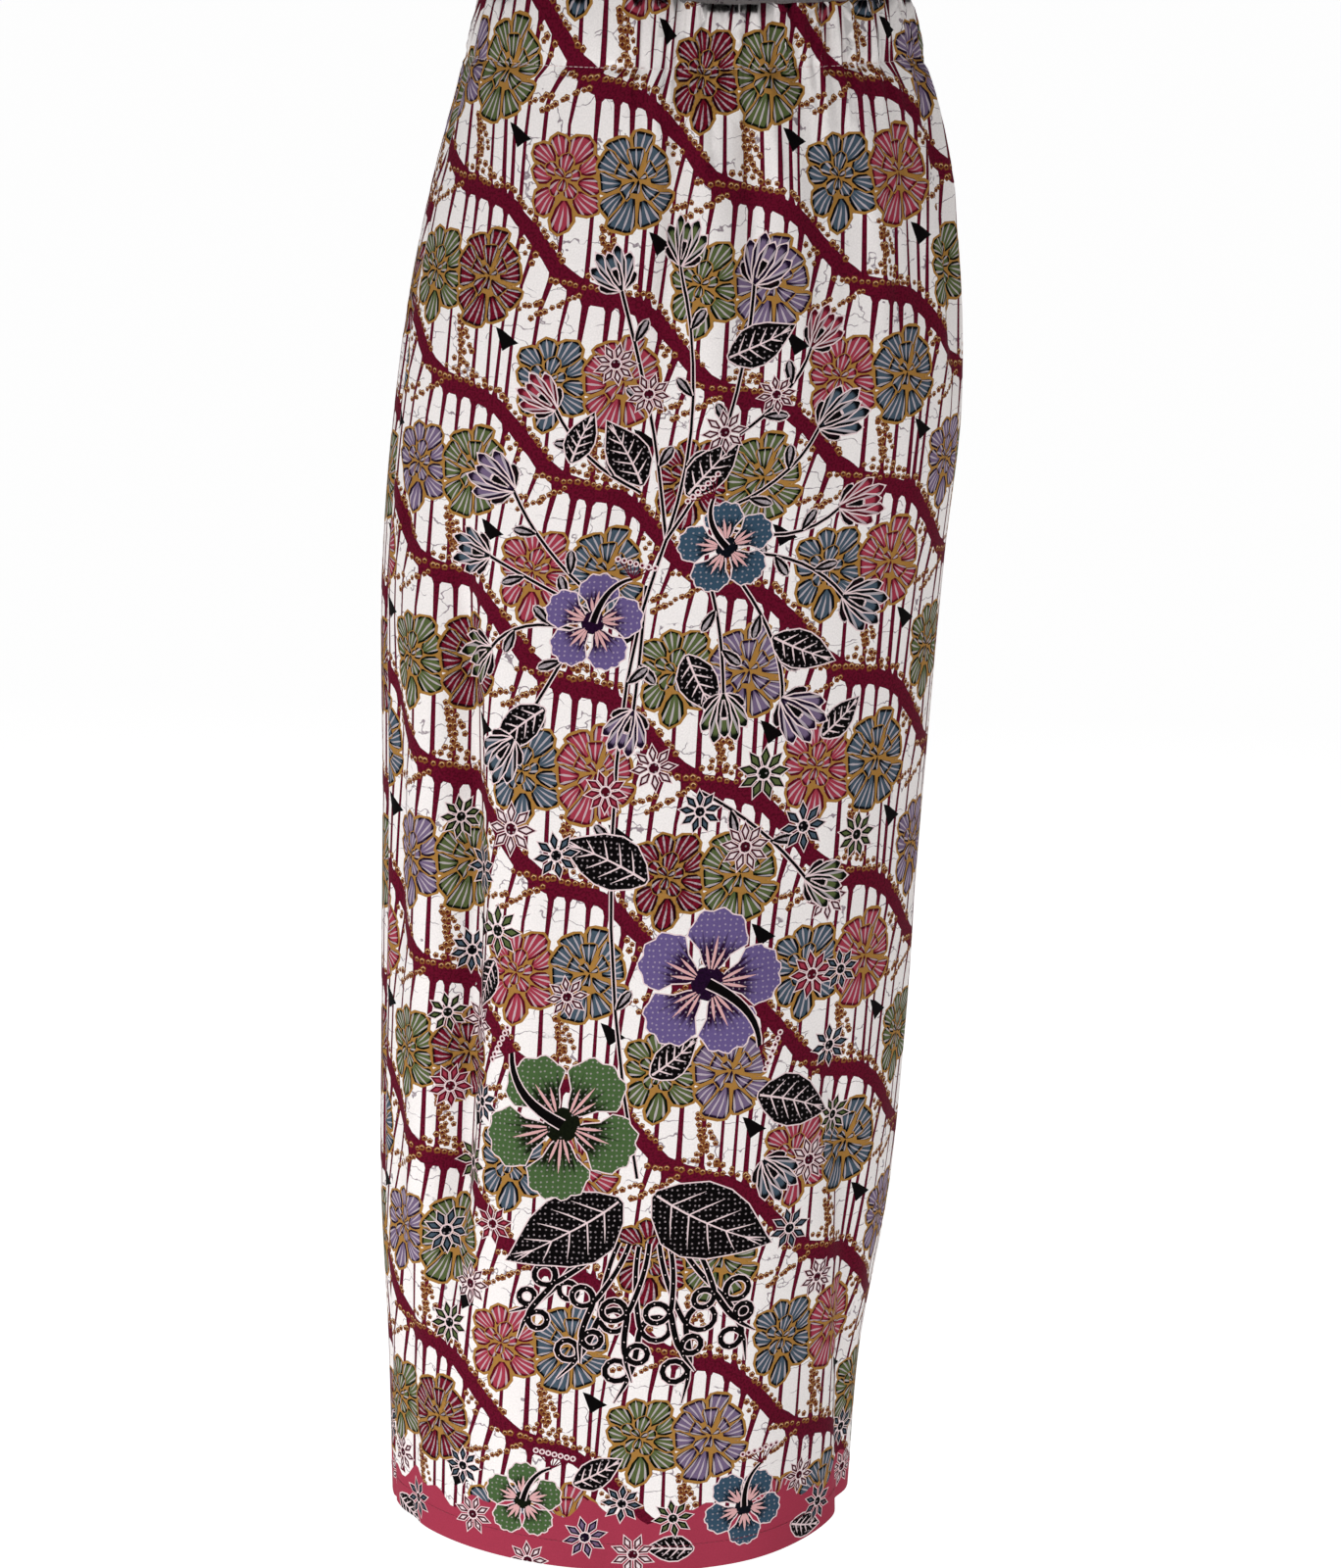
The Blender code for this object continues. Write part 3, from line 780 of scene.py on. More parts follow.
def paint_rib(sheet, crest, along, hand):
    """One rib from under a band to the band below, leaning left under its steep part."""
    inner = along - math.floor(along)
    steep = math.exp(-(((inner - 0.50) / 0.24) ** 2))
    lean = 0.003 + 0.013 * steep + hand.uniform(-0.0012, 0.0012)
    top = band_point(crest, along) - (0, band_at(along, 2) * 0.35)
    below = (crest[0], crest[1] - BAND_GAP)
    foot = band_point(below, along - lean / STEP_ACROSS) + (0, 0.0025)
    pull = top + (-0.012 * steep - 0.002, -0.018)
    rest = foot + (0.003 * steep + hand.uniform(-0.001, 0.001), 0.030)
    t = RIB_SHARES[:, None]
    path = top * (1 - t) ** 3 + 3 * pull * t * (1 - t) ** 2 + 3 * rest * t**2 * (1 - t) + foot * t**3
    flare = 1 + 2.6 * np.exp(-RIB_SHARES / 0.045) + 1.8 * np.exp(-(1 - RIB_SHARES) / 0.035)
    half = RIB_HALF * hand.uniform(0.80, 1.30) * flare
    lean = np.gradient(path, axis=0)
    lean = lean / np.linalg.norm(lean, axis=1, keepdims=True)
    side = np.column_stack((-lean[:, 1], lean[:, 0])) * half[:, None]
    sheet.paint(np.concatenate((path + side, (path - side)[::-1])), DYES["maroon"])


print("ribs stand", round(STEP_ACROSS / RIBS_PER_STEP * 1000, 1), "mm apart")

# %% [markdown]
# ## Bubbles, chains and dark bracts
#
# Small gold rings with a dark eye crowd along the bands and hang in chains under the flowers.
# There are thousands, so each is one small shape, and the material draws the ring, the eye and a
# painted highlight on the ring's upper side from the shape's own frame. A row of the table says
# where a run of rings starts and ends, measured from a crest, and how many it has.

# %% Bubbles and bracts
Run = namedtuple("Run", "start_x start_y end_x end_y count")
CREST_RUNS = (
    Run(-0.044, 0.0110, 0.020, 0.0030, 15),
    Run(-0.020, 0.0150, 0.010, 0.0085, 7),
    Run(-0.013, 0.0190, 0.001, 0.0140, 4),
    Run(0.021, 0.0020, 0.058, -0.0390, 13),
    Run(-0.009, 0.0210, -0.013, 0.0460, 8),
    Run(-0.006, 0.0200, -0.009, 0.0410, 5),
    Run(-0.024, 0.0030, -0.054, -0.0130, 10),
)
PAIR_RUNS = (
    Run(0.010, -0.0350, 0.015, -0.0470, 4),
    Run(0.005, -0.0370, 0.009, -0.0490, 3),
    Run(0.046, 0.0240, 0.055, 0.0180, 3),
    Run(0.048, 0.0180, 0.052, 0.0120, 2),
    Run(0.047, -0.0170, 0.062, -0.0120, 5),
)
BUBBLE = 0.0024
BRACT = ((-0.0078, 0.0072), (-0.0030, 0.0058), (0.0088, -0.0022), (0.0034, -0.0042), (-0.0020, -0.0078))
BRACT_FROM_PAIR = (0.0400, -0.0372)


def paint_runs(sheet, runs, x, y, hand):
    for run in runs:
        for k in range(run.count):
            at = (k + hand.uniform(-0.2, 0.2)) / max(run.count - 1, 1)
            where = (
                x + run.start_x + (run.end_x - run.start_x) * at + hand.uniform(-0.0007, 0.0007),
                y + run.start_y + (run.end_y - run.start_y) * at + hand.uniform(-0.0009, 0.0009),
            )
            size = BUBBLE * hand.uniform(0.78, 1.15)
            points = placed(round_shape(size, 5), *where, turn=hand.uniform(0, 1))
            sheet.paint(points, DYES["bead"], touch=RING, frame=Frame(*where, 0.0, size, size))


print("rings for each crest:", sum(run.count for run in CREST_RUNS + PAIR_RUNS))

# %% [markdown]
# ## The bouquet: five-petalled blooms
#
# A sarong of this kind has a large bouquet over its ground. This one is a general bouquet in
# an arrangement of its own. A bloom has five ruffled petals with a thin pale outline, a dark
# heart that frays outwards, pink rays, and a long curved pistil with small rings at its tip.

# %% Blooms
OUTLINE = 0.0009
LOBE_TURNS = np.linspace(-0.60, 0.60, 19)
LOBE_FOOT = 0.16


def lobe(radius, turn, ruffles, phase):
    """One ruffled petal of a bloom, from its narrow foot to its wide edge."""
    wide = LOBE_TURNS / 0.60
    reach = radius * (1 - 0.30 * np.abs(wide) ** 2.6 + 0.028 * np.cos(ruffles * wide + phase))
    edge = np.column_stack((np.cos(LOBE_TURNS) * reach, np.sin(LOBE_TURNS) * reach))
    foot = LOBE_FOOT * radius
    waist = np.array(((0.44, 0.215), (0.27, 0.125))) * radius
    points = [(foot, 0.03 * radius), *(waist[::-1]), *edge[::-1], *(waist * (1, -1)), (foot, -0.03 * radius)]
    return placed(points, 0, 0, turn)


def paint_line(sheet, path, half, dye, touch=PLAIN, pieces=5):
    """A brushed line, painted in short overlapping pieces so that it may cross itself."""
    path = np.asarray(path, dtype=float)
    half = np.broadcast_to(half, len(path))[:, None]
    lean = np.gradient(path, axis=0)
    lean = lean / np.maximum(np.linalg.norm(lean, axis=1, keepdims=True), 1e-9)
    side = np.column_stack((-lean[:, 1], lean[:, 0])) * half
    for first in range(0, len(path) - 1, pieces):
        part = slice(first, min(first + pieces, len(path) - 1) + 1)
        points = np.concatenate(((path + side)[part], (path - side)[part][::-1]))
        sheet.paint(points, dye, touch=touch)


def bow(start, bend, end, count=9):
    """Points along a curve that leaves start, leans towards bend and reaches end."""
    t = np.linspace(0, 1, count)[:, None]
    start, bend, end = map(np.array, (start, bend, end))
    return start * (1 - t) ** 2 + 2 * bend * t * (1 - t) + end * t**2


def paint_bloom(sheet, x, y, radius, turn, dyes, pistil):
    lobes = [lobe(radius, turn + k * 2 * math.pi / 5, 13.0 + k, 1.3 * k) + (x, y) for k in range(5)]
    for points in lobes:
        sheet.paint(moved_out(points, OUTLINE), DYES["outline"])
    sheet.paint(round_shape(radius * 0.24, 12) + (x, y), dyes.edge, through=True)
    stand = Frame(x, y, turn, radius, radius)
    for points in lobes:
        sheet.paint(points, dyes.body, dyes.edge, touch=HEARTED, frame=stand, through=True)
    for k in range(5):
        for lean in (-0.26, 0.0, 0.26):
            away = turn + k * 2 * math.pi / 5 + lean
            near = placed(((radius * 0.20, 0),), x, y, away - lean * 0.4)[0]
            far = placed(((radius * (0.66 - abs(lean) * 0.50), 0),), x, y, away)[0]
            paint_line(sheet, bow(near, (near + far) / 2, far, 4), (0.0004, 0.0010, 0.0009, 0.0001), DYES["ray"])
    end = placed(((radius * 1.18, 0),), x, y, pistil)[0]
    bend = placed(((radius * 0.72, radius * 0.34),), x, y, pistil)[0]
    column = bow((x, y), bend, end, 10)
    taper = np.linspace(0.0030, 0.0012, 10) * radius / 0.045
    paint_line(sheet, column, taper + 0.0008, DYES["outline"])
    paint_line(sheet, column, taper, DYES["black"])
    for k in range(7):
        away = placed(((0.010, (k - 3) * 0.0042),), *end, pistil + 0.5)[0]
        paint_line(sheet, bow(end, end * 0.5 + away * 0.5, away, 3), 0.0004, DYES["maroon"])
        sheet.paint(round_shape(0.0021, 8) + away, DYES["outline"])
        sheet.paint(round_shape(0.0011, 6) + away, DYES["maroon"])


print("a bloom has 5 petals and 15 rays")

# %% [markdown]
# ## The bouquet: leaves, stars, buds and tendrils
#
# The leaves are nearly black, with white veins and rows of white dots. Star flowers have slim
# petals round an eye. Buds sit on thin stems, and curling tendrils hang below. Each kind has
# one function, and the arrangement is a table of places, so a whole bouquet can be moved or
# mirrored for the other panel.

# %% Leaves, stars, buds and tendrils
LEAF = ((0.0, 0.10), (0.10, 0.52), (0.28, 0.94), (0.46, 1.0), (0.64, 0.82), (0.82, 0.42), (0.93, 0.15), (1.0, 0.0))


def paint_leaf(sheet, x, y, length, width, turn, bend, dye=None):
    at, half = np.array(LEAF).T

    def on_leaf(along, across):
        curve = bend * length * along**2
        return placed(np.column_stack((along * length, across + curve)), x, y, turn)

    edge = np.concatenate((on_leaf(at, half * width / 2), on_leaf(at, -half * width / 2)[-2::-1]))
    sheet.paint(moved_out(edge, OUTLINE), DYES["outline"])
    sheet.paint(edge, dye or DYES["black"], touch=DOTTED, through=True)
    spine = np.linspace(0.02, 0.92, 8)
    paint_line(sheet, on_leaf(spine, spine * 0), np.linspace(0.0008, 0.0003, 8), DYES["outline"])
    for k in range(1, 6):
        foot = k / 6.4
        for side in (-1, 1):
            along = np.array((foot, foot + 0.08, foot + 0.15))
            reach = np.interp(foot + 0.15, at, half) * width / 2 * 0.74 * side
            vein = on_leaf(along, np.array((0.0, 0.55, 1.0)) * reach)
            paint_line(sheet, vein, (0.0005, 0.0005, 0.0001), DYES["outline"])


def paint_star(sheet, x, y, radius, turn, dyes, count=9):
    slim = [
        Petal(x, y, turn + 2 * math.pi * k / count, radius * 0.24, radius * 1.06, radius * 0.215, SLIM, 0)
        for k in range(count)
    ]
    paint_petals(sheet, slim, dyes, DYES["outline"])
    sheet.paint(round_shape(radius * 0.29, 9) + (x, y), DYES["outline"])
    sheet.paint(round_shape(radius * 0.22, 8) + (x, y), dyes.edge, touch=DOTTED)


def paint_bud(sheet, x, y, length, turn, dyes):
    """Five narrow petals that open from one foot, with two dark leaves under them."""
    for lean in (-1.05, 1.05):
        leaf = Petal(x, y, turn + lean, 0.0, length * 0.50, length * 0.13, POINTED, 0)
        paint_petals(sheet, [leaf], PETALS["leaf"], DYES["outline"])
    for lean, long in ((-0.58, 0.84), (0.58, 0.84), (-0.24, 1.0), (0.24, 1.0), (0.0, 0.88)):
        petal = Petal(x, y, turn + lean, 0.0, length * long, length * 0.17, POINTED, 2)
        paint_petals(sheet, [petal], dyes, DYES["outline"])
    heart = Petal(x, y, turn, length * 0.10, length * 0.50, length * 0.085, FAN, 0)
    paint_petals(sheet, [heart], PETALS["leaf"], DYES["outline"])


def paint_stem(sheet, path):
    """A dark stem with a pale outline and small leaves on alternate sides."""
    paint_line(sheet, path, 0.0016, DYES["outline"])
    paint_line(sheet, path, 0.0009, DYES["black"])
    ahead = np.gradient(path, axis=0)
    far = np.linalg.norm(path[-1] - path[0])
    for k in range(2, len(path) - 1, 2 if far > 0.1 else 3):
        side = 1 if k % 4 < 2 else -1
        turn = math.atan2(ahead[k][1], ahead[k][0]) + side * 0.75
        leaf = Petal(*path[k], turn, 0.001, 0.0175, 0.0042, POINTED, 1)
        paint_petals(sheet, [leaf], PETALS["leaf"], DYES["outline"])


def paint_tendril(sheet, x, y, length, turn, curl):
    """A dotted ribbon that hangs down in loops and ends in a curl."""
    share = np.linspace(0, 1, 52)
    heading = turn + curl * (0.35 * np.sin(share * 5.0) + 2 * math.pi * eased((share - 0.24) / 0.34))
    heading = heading - curl * 2 * math.pi * eased((share - 0.64) / 0.32)
    step = length / 51
    path = np.column_stack((x + np.cumsum(np.cos(heading)) * step, y + np.cumsum(np.sin(heading)) * step))
    half = np.interp(share, (0, 0.5, 0.88, 1), (0.0013, 0.0019, 0.0018, 0.0003))
    paint_line(sheet, path, half + 0.0008, DYES["outline"])
    paint_line(sheet, path, half, DYES["black"])
    for k in range(2, 48, 3):
        sheet.paint(placed(round_shape(0.0005, 4), *path[k]), DYES["outline"])


print("a leaf has", 2 * len(LEAF) - 1, "points round its edge")

# %% [markdown]
# ## Arranging the bouquet
#
# The large blooms sit low, small ones climb with the buds, stars drift down one side and the
# tendrils hang under two big leaves. The tables are in metres from the bouquet's own middle.

# %% The bouquet's tables
Bloom = namedtuple("Bloom", "x y radius turn dyes pistil")
Leaf = namedtuple("Leaf", "x y length width turn bend")
Star = namedtuple("Star", "x y radius dyes")
Bud = namedtuple("Bud", "x y length turn dyes")
Stem = namedtuple("Stem", "x y bend_x bend_y end_x end_y")
Tendril = namedtuple("Tendril", "x y length turn curl")
BLOOMS = (
    Bloom(0.028, 0.295, 0.030, 0.5, "blue bloom", 1.9),
    Bloom(-0.052, 0.245, 0.031, 0.2, "violet bloom", 0.9),
    Bloom(0.030, 0.020, 0.047, 1.4, "violet bloom", 5.4),
    Bloom(-0.060, -0.075, 0.050, 0.9, "green bloom", 2.2),
)
LEAVES = (
    Leaf(-0.030, 0.335, 0.050, 0.026, 2.0, 0.10),
    Leaf(0.000, 0.330, 0.048, 0.024, 1.0, -0.12),
    Leaf(0.062, 0.235, 0.046, 0.024, -0.5, 0.10),
    Leaf(-0.080, 0.190, 0.044, 0.022, 3.7, 0.12),
    Leaf(-0.012, 0.085, 0.060, 0.034, 2.6, 0.14),
    Leaf(0.066, -0.055, 0.056, 0.034, -0.2, -0.14),
    Leaf(-0.020, -0.125, 0.084, 0.052, -2.45, -0.16),
    Leaf(0.002, -0.120, 0.086, 0.054, -0.62, 0.18),
    Leaf(-0.110, 0.030, 0.036, 0.020, 4.2, 0.10),
    Leaf(0.008, 0.225, 0.042, 0.024, -1.2, 0.12),
    Leaf(0.020, 0.420, 0.046, 0.026, 0.3, 0.14),
    Leaf(-0.076, 0.350, 0.036, 0.018, 1.3, -0.10),
    Leaf(0.098, 0.170, 0.034, 0.018, 0.6, 0.10),
    Leaf(-0.004, -0.040, 0.038, 0.022, 0.6, 0.12),
)
STARS = (
    Star(-0.100, 0.115, 0.017, "white"),
    Star(-0.128, 0.085, 0.016, "blue"),
    Star(-0.108, 0.050, 0.017, "green"),
    Star(-0.140, 0.030, 0.015, "blue"),
    Star(-0.128, -0.015, 0.016, "white"),
    Star(-0.152, -0.060, 0.015, "rose"),
    Star(-0.130, -0.110, 0.017, "green"),
    Star(-0.148, -0.160, 0.016, "blue"),
    Star(-0.120, -0.190, 0.015, "white"),
    Star(0.060, 0.150, 0.017, "green"),
    Star(0.088, 0.115, 0.016, "blue"),
    Star(0.050, 0.105, 0.016, "white"),
    Star(0.108, 0.068, 0.015, "white"),
    Star(0.100, 0.020, 0.016, "rose"),
    Star(0.118, -0.030, 0.015, "blue"),
    Star(0.106, -0.105, 0.016, "white"),
    Star(-0.010, 0.155, 0.015, "white"),
    Star(-0.040, 0.140, 0.014, "rose"),
    Star(0.020, 0.372, 0.015, "white"),
    Star(-0.030, 0.395, 0.014, "white"),
    Star(-0.060, 0.010, 0.014, "white"),
    Star(-0.052, 0.415, 0.014, "white"),
    Star(0.052, 0.395, 0.013, "white"),
    Star(0.128, 0.105, 0.015, "green"),
    Star(0.122, 0.020, 0.014, "blue"),
    Star(0.020, 0.128, 0.014, "blue"),
    Star(-0.070, 0.100, 0.015, "blue"),
    Star(-0.150, 0.115, 0.014, "green"),
    Star(-0.155, -0.010, 0.014, "green"),
    Star(-0.118, -0.065, 0.014, "blue"),
    Star(-0.104, -0.145, 0.014, "rose"),
    Star(-0.136, -0.222, 0.015, "green"),
    Star(0.094, -0.150, 0.015, "blue"),
    Star(0.128, -0.080, 0.014, "green"),
    Star(0.120, -0.190, 0.014, "white"),
)
BUDS = (
    Bud(-0.052, 0.462, 0.030, 2.0, "blue"),
    Bud(-0.014, 0.478, 0.032, 1.4, "green"),
    Bud(0.036, 0.466, 0.034, 1.1, "lavender"),
    Bud(0.082, 0.372, 0.036, 0.5, "blue"),
    Bud(0.100, 0.318, 0.034, 0.1, "rose"),
    Bud(0.108, 0.258, 0.036, -0.4, "blue"),
    Bud(-0.112, 0.330, 0.036, 2.7, "lavender"),
    Bud(-0.124, 0.285, 0.034, 3.1, "blue"),
    Bud(-0.118, 0.225, 0.036, 3.6, "green"),
    Bud(0.070, 0.195, 0.036, -0.7, "lavender"),
    Bud(-0.088, 0.385, 0.030, 2.5, "rose"),
    Bud(0.074, 0.425, 0.030, 0.9, "rose"),
    Bud(0.032, 0.200, 0.032, -1.5, "green"),
    Bud(-0.100, 0.170, 0.034, 4.0, "blue"),
    Bud(-0.024, 0.190, 0.030, -1.9, "lavender"),
    Bud(0.092, 0.082, 0.032, -0.3, "green"),
    Bud(0.072, -0.100, 0.034, -0.9, "blue"),
)
STEMS = (
    Stem(-0.010, 0.300, -0.030, 0.400, -0.052, 0.462),
    Stem(-0.010, 0.300, 0.010, 0.400, -0.014, 0.478),
    Stem(-0.010, 0.300, 0.030, 0.370, 0.036, 0.466),
    Stem(0.020, 0.320, 0.060, 0.330, 0.082, 0.372),
    Stem(0.020, 0.310, 0.070, 0.290, 0.100, 0.318),
    Stem(0.040, 0.290, 0.080, 0.290, 0.108, 0.258),
    Stem(-0.050, 0.260, -0.090, 0.290, -0.112, 0.330),
    Stem(-0.050, 0.250, -0.090, 0.270, -0.124, 0.285),
    Stem(-0.060, 0.240, -0.100, 0.250, -0.118, 0.225),
    Stem(0.040, 0.270, 0.070, 0.230, 0.070, 0.195),
    Stem(-0.030, 0.330, -0.070, 0.350, -0.088, 0.385),
    Stem(0.030, 0.370, 0.060, 0.390, 0.074, 0.425),
    Stem(0.020, 0.270, 0.030, 0.240, 0.032, 0.200),
    Stem(-0.060, 0.240, -0.080, 0.200, -0.100, 0.170),
    Stem(-0.020, 0.270, -0.020, 0.230, -0.024, 0.190),
    Stem(0.020, 0.140, 0.060, 0.120, 0.092, 0.082),
    Stem(-0.010, -0.110, -0.060, 0.120, -0.010, 0.300),
)
TENDRILS = (
    Tendril(-0.030, -0.150, 0.150, -2.45, 1.0),
    Tendril(-0.024, -0.150, 0.175, -2.20, -1.0),
    Tendril(-0.018, -0.150, 0.200, -1.98, 1.0),
    Tendril(-0.012, -0.152, 0.170, -1.84, -1.0),
    Tendril(-0.006, -0.152, 0.215, -1.72, 1.0),
    Tendril(0.000, -0.150, 0.190, -1.58, -1.0),
    Tendril(0.006, -0.150, 0.220, -1.44, 1.0),
    Tendril(0.012, -0.150, 0.180, -1.28, -1.0),
    Tendril(0.018, -0.150, 0.190, -1.10, 1.0),
    Tendril(0.024, -0.148, 0.160, -0.90, -1.0),
)
BOUQUETS = {FRONT.name: ((-0.020, -0.615, 1.0),), BACK.name: ((0.025, -0.600, -1.0),)}
print("bouquet pieces:", sum(map(len, (BLOOMS, LEAVES, STARS, BUDS, STEMS, TENDRILS))))

# %% Painting the bouquet


def paint_bouquet(sheet, x, y, side):
    """Side is 1 for the tables as they are, and -1 for a mirrored bouquet."""

    def turned(turn):
        return turn if side > 0 else math.pi - turn

    for stem in STEMS:
        ends = ((stem.x, stem.y), (stem.bend_x, stem.bend_y), (stem.end_x, stem.end_y))
        paint_stem(sheet, bow(*[(x + side * px, y + py) for px, py in ends]))
    for tendril in TENDRILS:
        where = (x + side * tendril.x, y + tendril.y)
        paint_tendril(sheet, *where, tendril.length, turned(tendril.turn), side * tendril.curl)
    for leaf in LEAVES:
        where = (x + side * leaf.x, y + leaf.y)
        paint_leaf(sheet, *where, leaf.length, leaf.width, turned(leaf.turn), side * leaf.bend)
    for k, star in enumerate(STARS):
        paint_star(sheet, x + side * star.x, y + star.y, star.radius, 0.4 * k, PETALS[star.dyes], 8 + k % 2)
    for bud in BUDS:
        paint_bud(sheet, x + side * bud.x, y + bud.y, bud.length, turned(bud.turn), PETALS[bud.dyes])
    for bloom in BLOOMS:
        where = (x + side * bloom.x, y + bloom.y)
        turn, pistil = turned(bloom.turn), turned(bloom.pistil)
        paint_bloom(sheet, *where, bloom.radius, turn, PETALS[bloom.dyes], pistil)


print("bouquets:", BOUQUETS)

# %% [markdown]
# ## The border at the hem
#
# A rose band with a ragged upper edge runs round the hem, and small blooms, stars and leaves
# lie along it. Its repeat is about as wide as two flower pairs.

# %% The hem border
BORDER_TOP = -0.958
BORDER_REPEAT = 0.300
BORDER_BLOOMS = (
    Bloom(-0.096, -0.952, 0.026, 0.3, "green bloom", 0.9),
    Bloom(0.052, -0.958, 0.027, 1.0, "blue bloom", 1.2),
)
BORDER_LEAVES = (
    Leaf(-0.062, -0.938, 0.036, 0.020, 0.4, 0.1),
    Leaf(0.018, -0.985, 0.032, 0.018, 3.0, 0.1),
    Leaf(0.090, -0.980, 0.030, 0.017, -0.4, 0.1),
)
BORDER_STARS = (
    Star(-0.140, -0.935, 0.014, "blue"),
    Star(-0.132, -0.968, 0.014, "white"),
    Star(-0.054, -0.976, 0.015, "lavender"),
    Star(-0.030, -0.952, 0.014, "blue"),
    Star(-0.022, -0.988, 0.015, "white"),
    Star(0.004, -0.962, 0.014, "green"),
    Star(0.096, -0.946, 0.013, "white"),
    Star(0.116, -0.972, 0.014, "blue"),
    Star(-0.092, -0.995, 0.014, "white"),
)


def paint_border(sheet, origin):
    across = np.linspace(-0.3, 0.3, 141)
    waves = 0.005 * np.sin(across * 95) + 0.004 * np.sin(across * 231 + 1)
    top = np.column_stack((across, BORDER_TOP + waves))
    sheet.paint([*top, (0.3, -1.03), (-0.3, -1.03)], DYES["border rose"], through=True)
    for repeat in (-1, 0, 1):
        shift = origin + repeat * BORDER_REPEAT
        for leaf in BORDER_LEAVES:
            paint_leaf(sheet, leaf.x + shift, leaf.y, leaf.length, leaf.width, leaf.turn, leaf.bend)
        for k, star in enumerate(BORDER_STARS):
            paint_star(sheet, star.x + shift, star.y, star.radius, 0.5 * k, PETALS[star.dyes], 8)
        for bloom in BORDER_BLOOMS:
            where = (bloom.x + shift, bloom.y)
            paint_bloom(sheet, *where, bloom.radius, bloom.turn, PETALS[bloom.dyes], bloom.pistil)


print("the border repeats every", BORDER_REPEAT, "m")

# %% [markdown]
# ## Printing both panels
#
# Everything is painted in order: ribs, bands, rings, flowers, border and bouquet. Shapes that
# fall outside the panel are skipped, which keeps the later cutting quick.

# %% Print the sheets
SHEET_HALF = 0.262
SHEET_LOW = -1.012
SHEET_HIGH = 0.030
BORDER_SHIFTS = {FRONT.name: 0.0, BACK.name: 0.07}


def print_sheet(name):
    sheet = PrintedSheet()
    hand = np.random.default_rng(11)
    pairs = pairs_on(name)
    crests = [(pair.x + CREST_FROM_PAIR[0], pair.y + CREST_FROM_PAIR[1]) for pair in pairs]
    on_middle = [crest for crest, pair in zip(crests, pairs) if abs(pair.x - ORIGINS[name][0]) < 0.01]
    for crest in on_middle:
        for k in range(-3 * RIBS_PER_STEP, 3 * RIBS_PER_STEP):
            paint_rib(sheet, crest, (k + 0.5 + hand.uniform(-0.14, 0.14)) / RIBS_PER_STEP, hand)
    for crest in on_middle:
        paint_band(sheet, crest, 3)
    for crest, pair in zip(crests, pairs):
        paint_runs(sheet, CREST_RUNS, *crest, hand)
        paint_runs(sheet, PAIR_RUNS, pair.x, pair.y, hand)
        sheet.paint(np.array(BRACT) + (pair.x + BRACT_FROM_PAIR[0], pair.y + BRACT_FROM_PAIR[1]), DYES["black"])
    for pair in pairs:
        paint_ghost(sheet, PETALS[pair.left], pair.x - PAIR_SPREAD, pair.y)
        paint_ghost(sheet, PETALS[pair.right], pair.x + PAIR_SPREAD, pair.y)
        paint_flower(sheet, POINTED_FLOWER, PETALS[pair.left], pair.x - PAIR_SPREAD, pair.y)
        paint_flower(sheet, ROUND_FLOWER, PETALS[pair.right], pair.x + PAIR_SPREAD, pair.y)
    paint_border(sheet, BORDER_SHIFTS[name])
    for x, y, side in BOUQUETS[name]:
        paint_bouquet(sheet, x, y, side)
    kept = []
    for shape in sheet.shapes:
        low, high = shape.points.min(axis=0), shape.points.max(axis=0)
        inside = high[0] > -SHEET_HALF and low[0] < SHEET_HALF
        if inside and high[1] > SHEET_LOW and low[1] < SHEET_HIGH:
            kept.append(shape)
    return kept


prints = {layout.panel.name: print_sheet(layout.panel.name) for layout in layouts}
for name, shapes in prints.items():
    print(name, "has", len(shapes), "shapes with", sum(len(shape.points) for shape in shapes), "points")

# %% [markdown]
# ## Cutting the cloth along the print
#
# Image textures would need a picture file. Here the cloth mesh itself is cut along every
# printed edge, so the print stays sharp from any distance. A constrained triangulation does
# this: it takes all the outlines and some loose points that keep the faces small, and says
# for each face which outlines it lies in. The last one painted gives the face its colour.
# The print hangs a few millimetres lower over the seat of the figure than on the flat cloth.

# %% Cutting along the print
LOOSE_ACROSS = 0.0060
LOOSE_DOWN = 0.0115
INNER_DOWN = 0.0200
FINE_ABOVE = -0.110
FINE_SHARE = 0.40
EDGE_STEP = 0.0050
PRINT_LIFT = 0.011
LIFT_AT = -0.38
LIFT_REACH = 0.16
Cut = namedtuple("Cut", "flat faces owners loop")


def lift(height):
    return PRINT_LIFT * np.exp(-(((height - LIFT_AT) / LIFT_REACH) ** 2))


def hem_height(panel, share):
    middle = np.sin(math.pi * share) ** 2
    return HEM_AT_SIDES + middle * (HEM_RISE_BACK if panel is BACK else -HEM_DIP_FRONT)


def panel_edge(layout, low, high):
    """The outline of a stretch of a panel on the flat cloth, from two heights. No lower
    height means the hem."""
    steps = int(abs(high - (low if low is not None else -1.0)) / EDGE_STEP)
    bottom_ends = [low, low] if low is not None else [HEM_AT_SIDES, HEM_AT_SIDES]
    right_v = np.linspace(bottom_ends[1], high, steps, endpoint=False)
    left_v = np.linspace(high, bottom_ends[0], steps, endpoint=False)
    right = np.column_stack((np.interp(right_v, layout.heights, layout.right), right_v))
    left = np.column_stack((np.interp(left_v, layout.heights, layout.left), left_v))

    def across(v_of, first, last):
        share = np.linspace(first, last, 110, endpoint=False)
        v = v_of(share)
        start = np.interp(v, layout.heights, layout.left)
        end = np.interp(v, layout.heights, layout.right)
        return np.column_stack((start + (end - start) * share, v))

    top = across(lambda share: np.full_like(share, high), 1, 0)
    if low is None:
        bottom = across(lambda share: hem_height(layout.panel, share), 0, 1)
    else:
        bottom = across(lambda share: np.full_like(share, low), 0, 1)
    return np.concatenate((bottom, right, top, left))


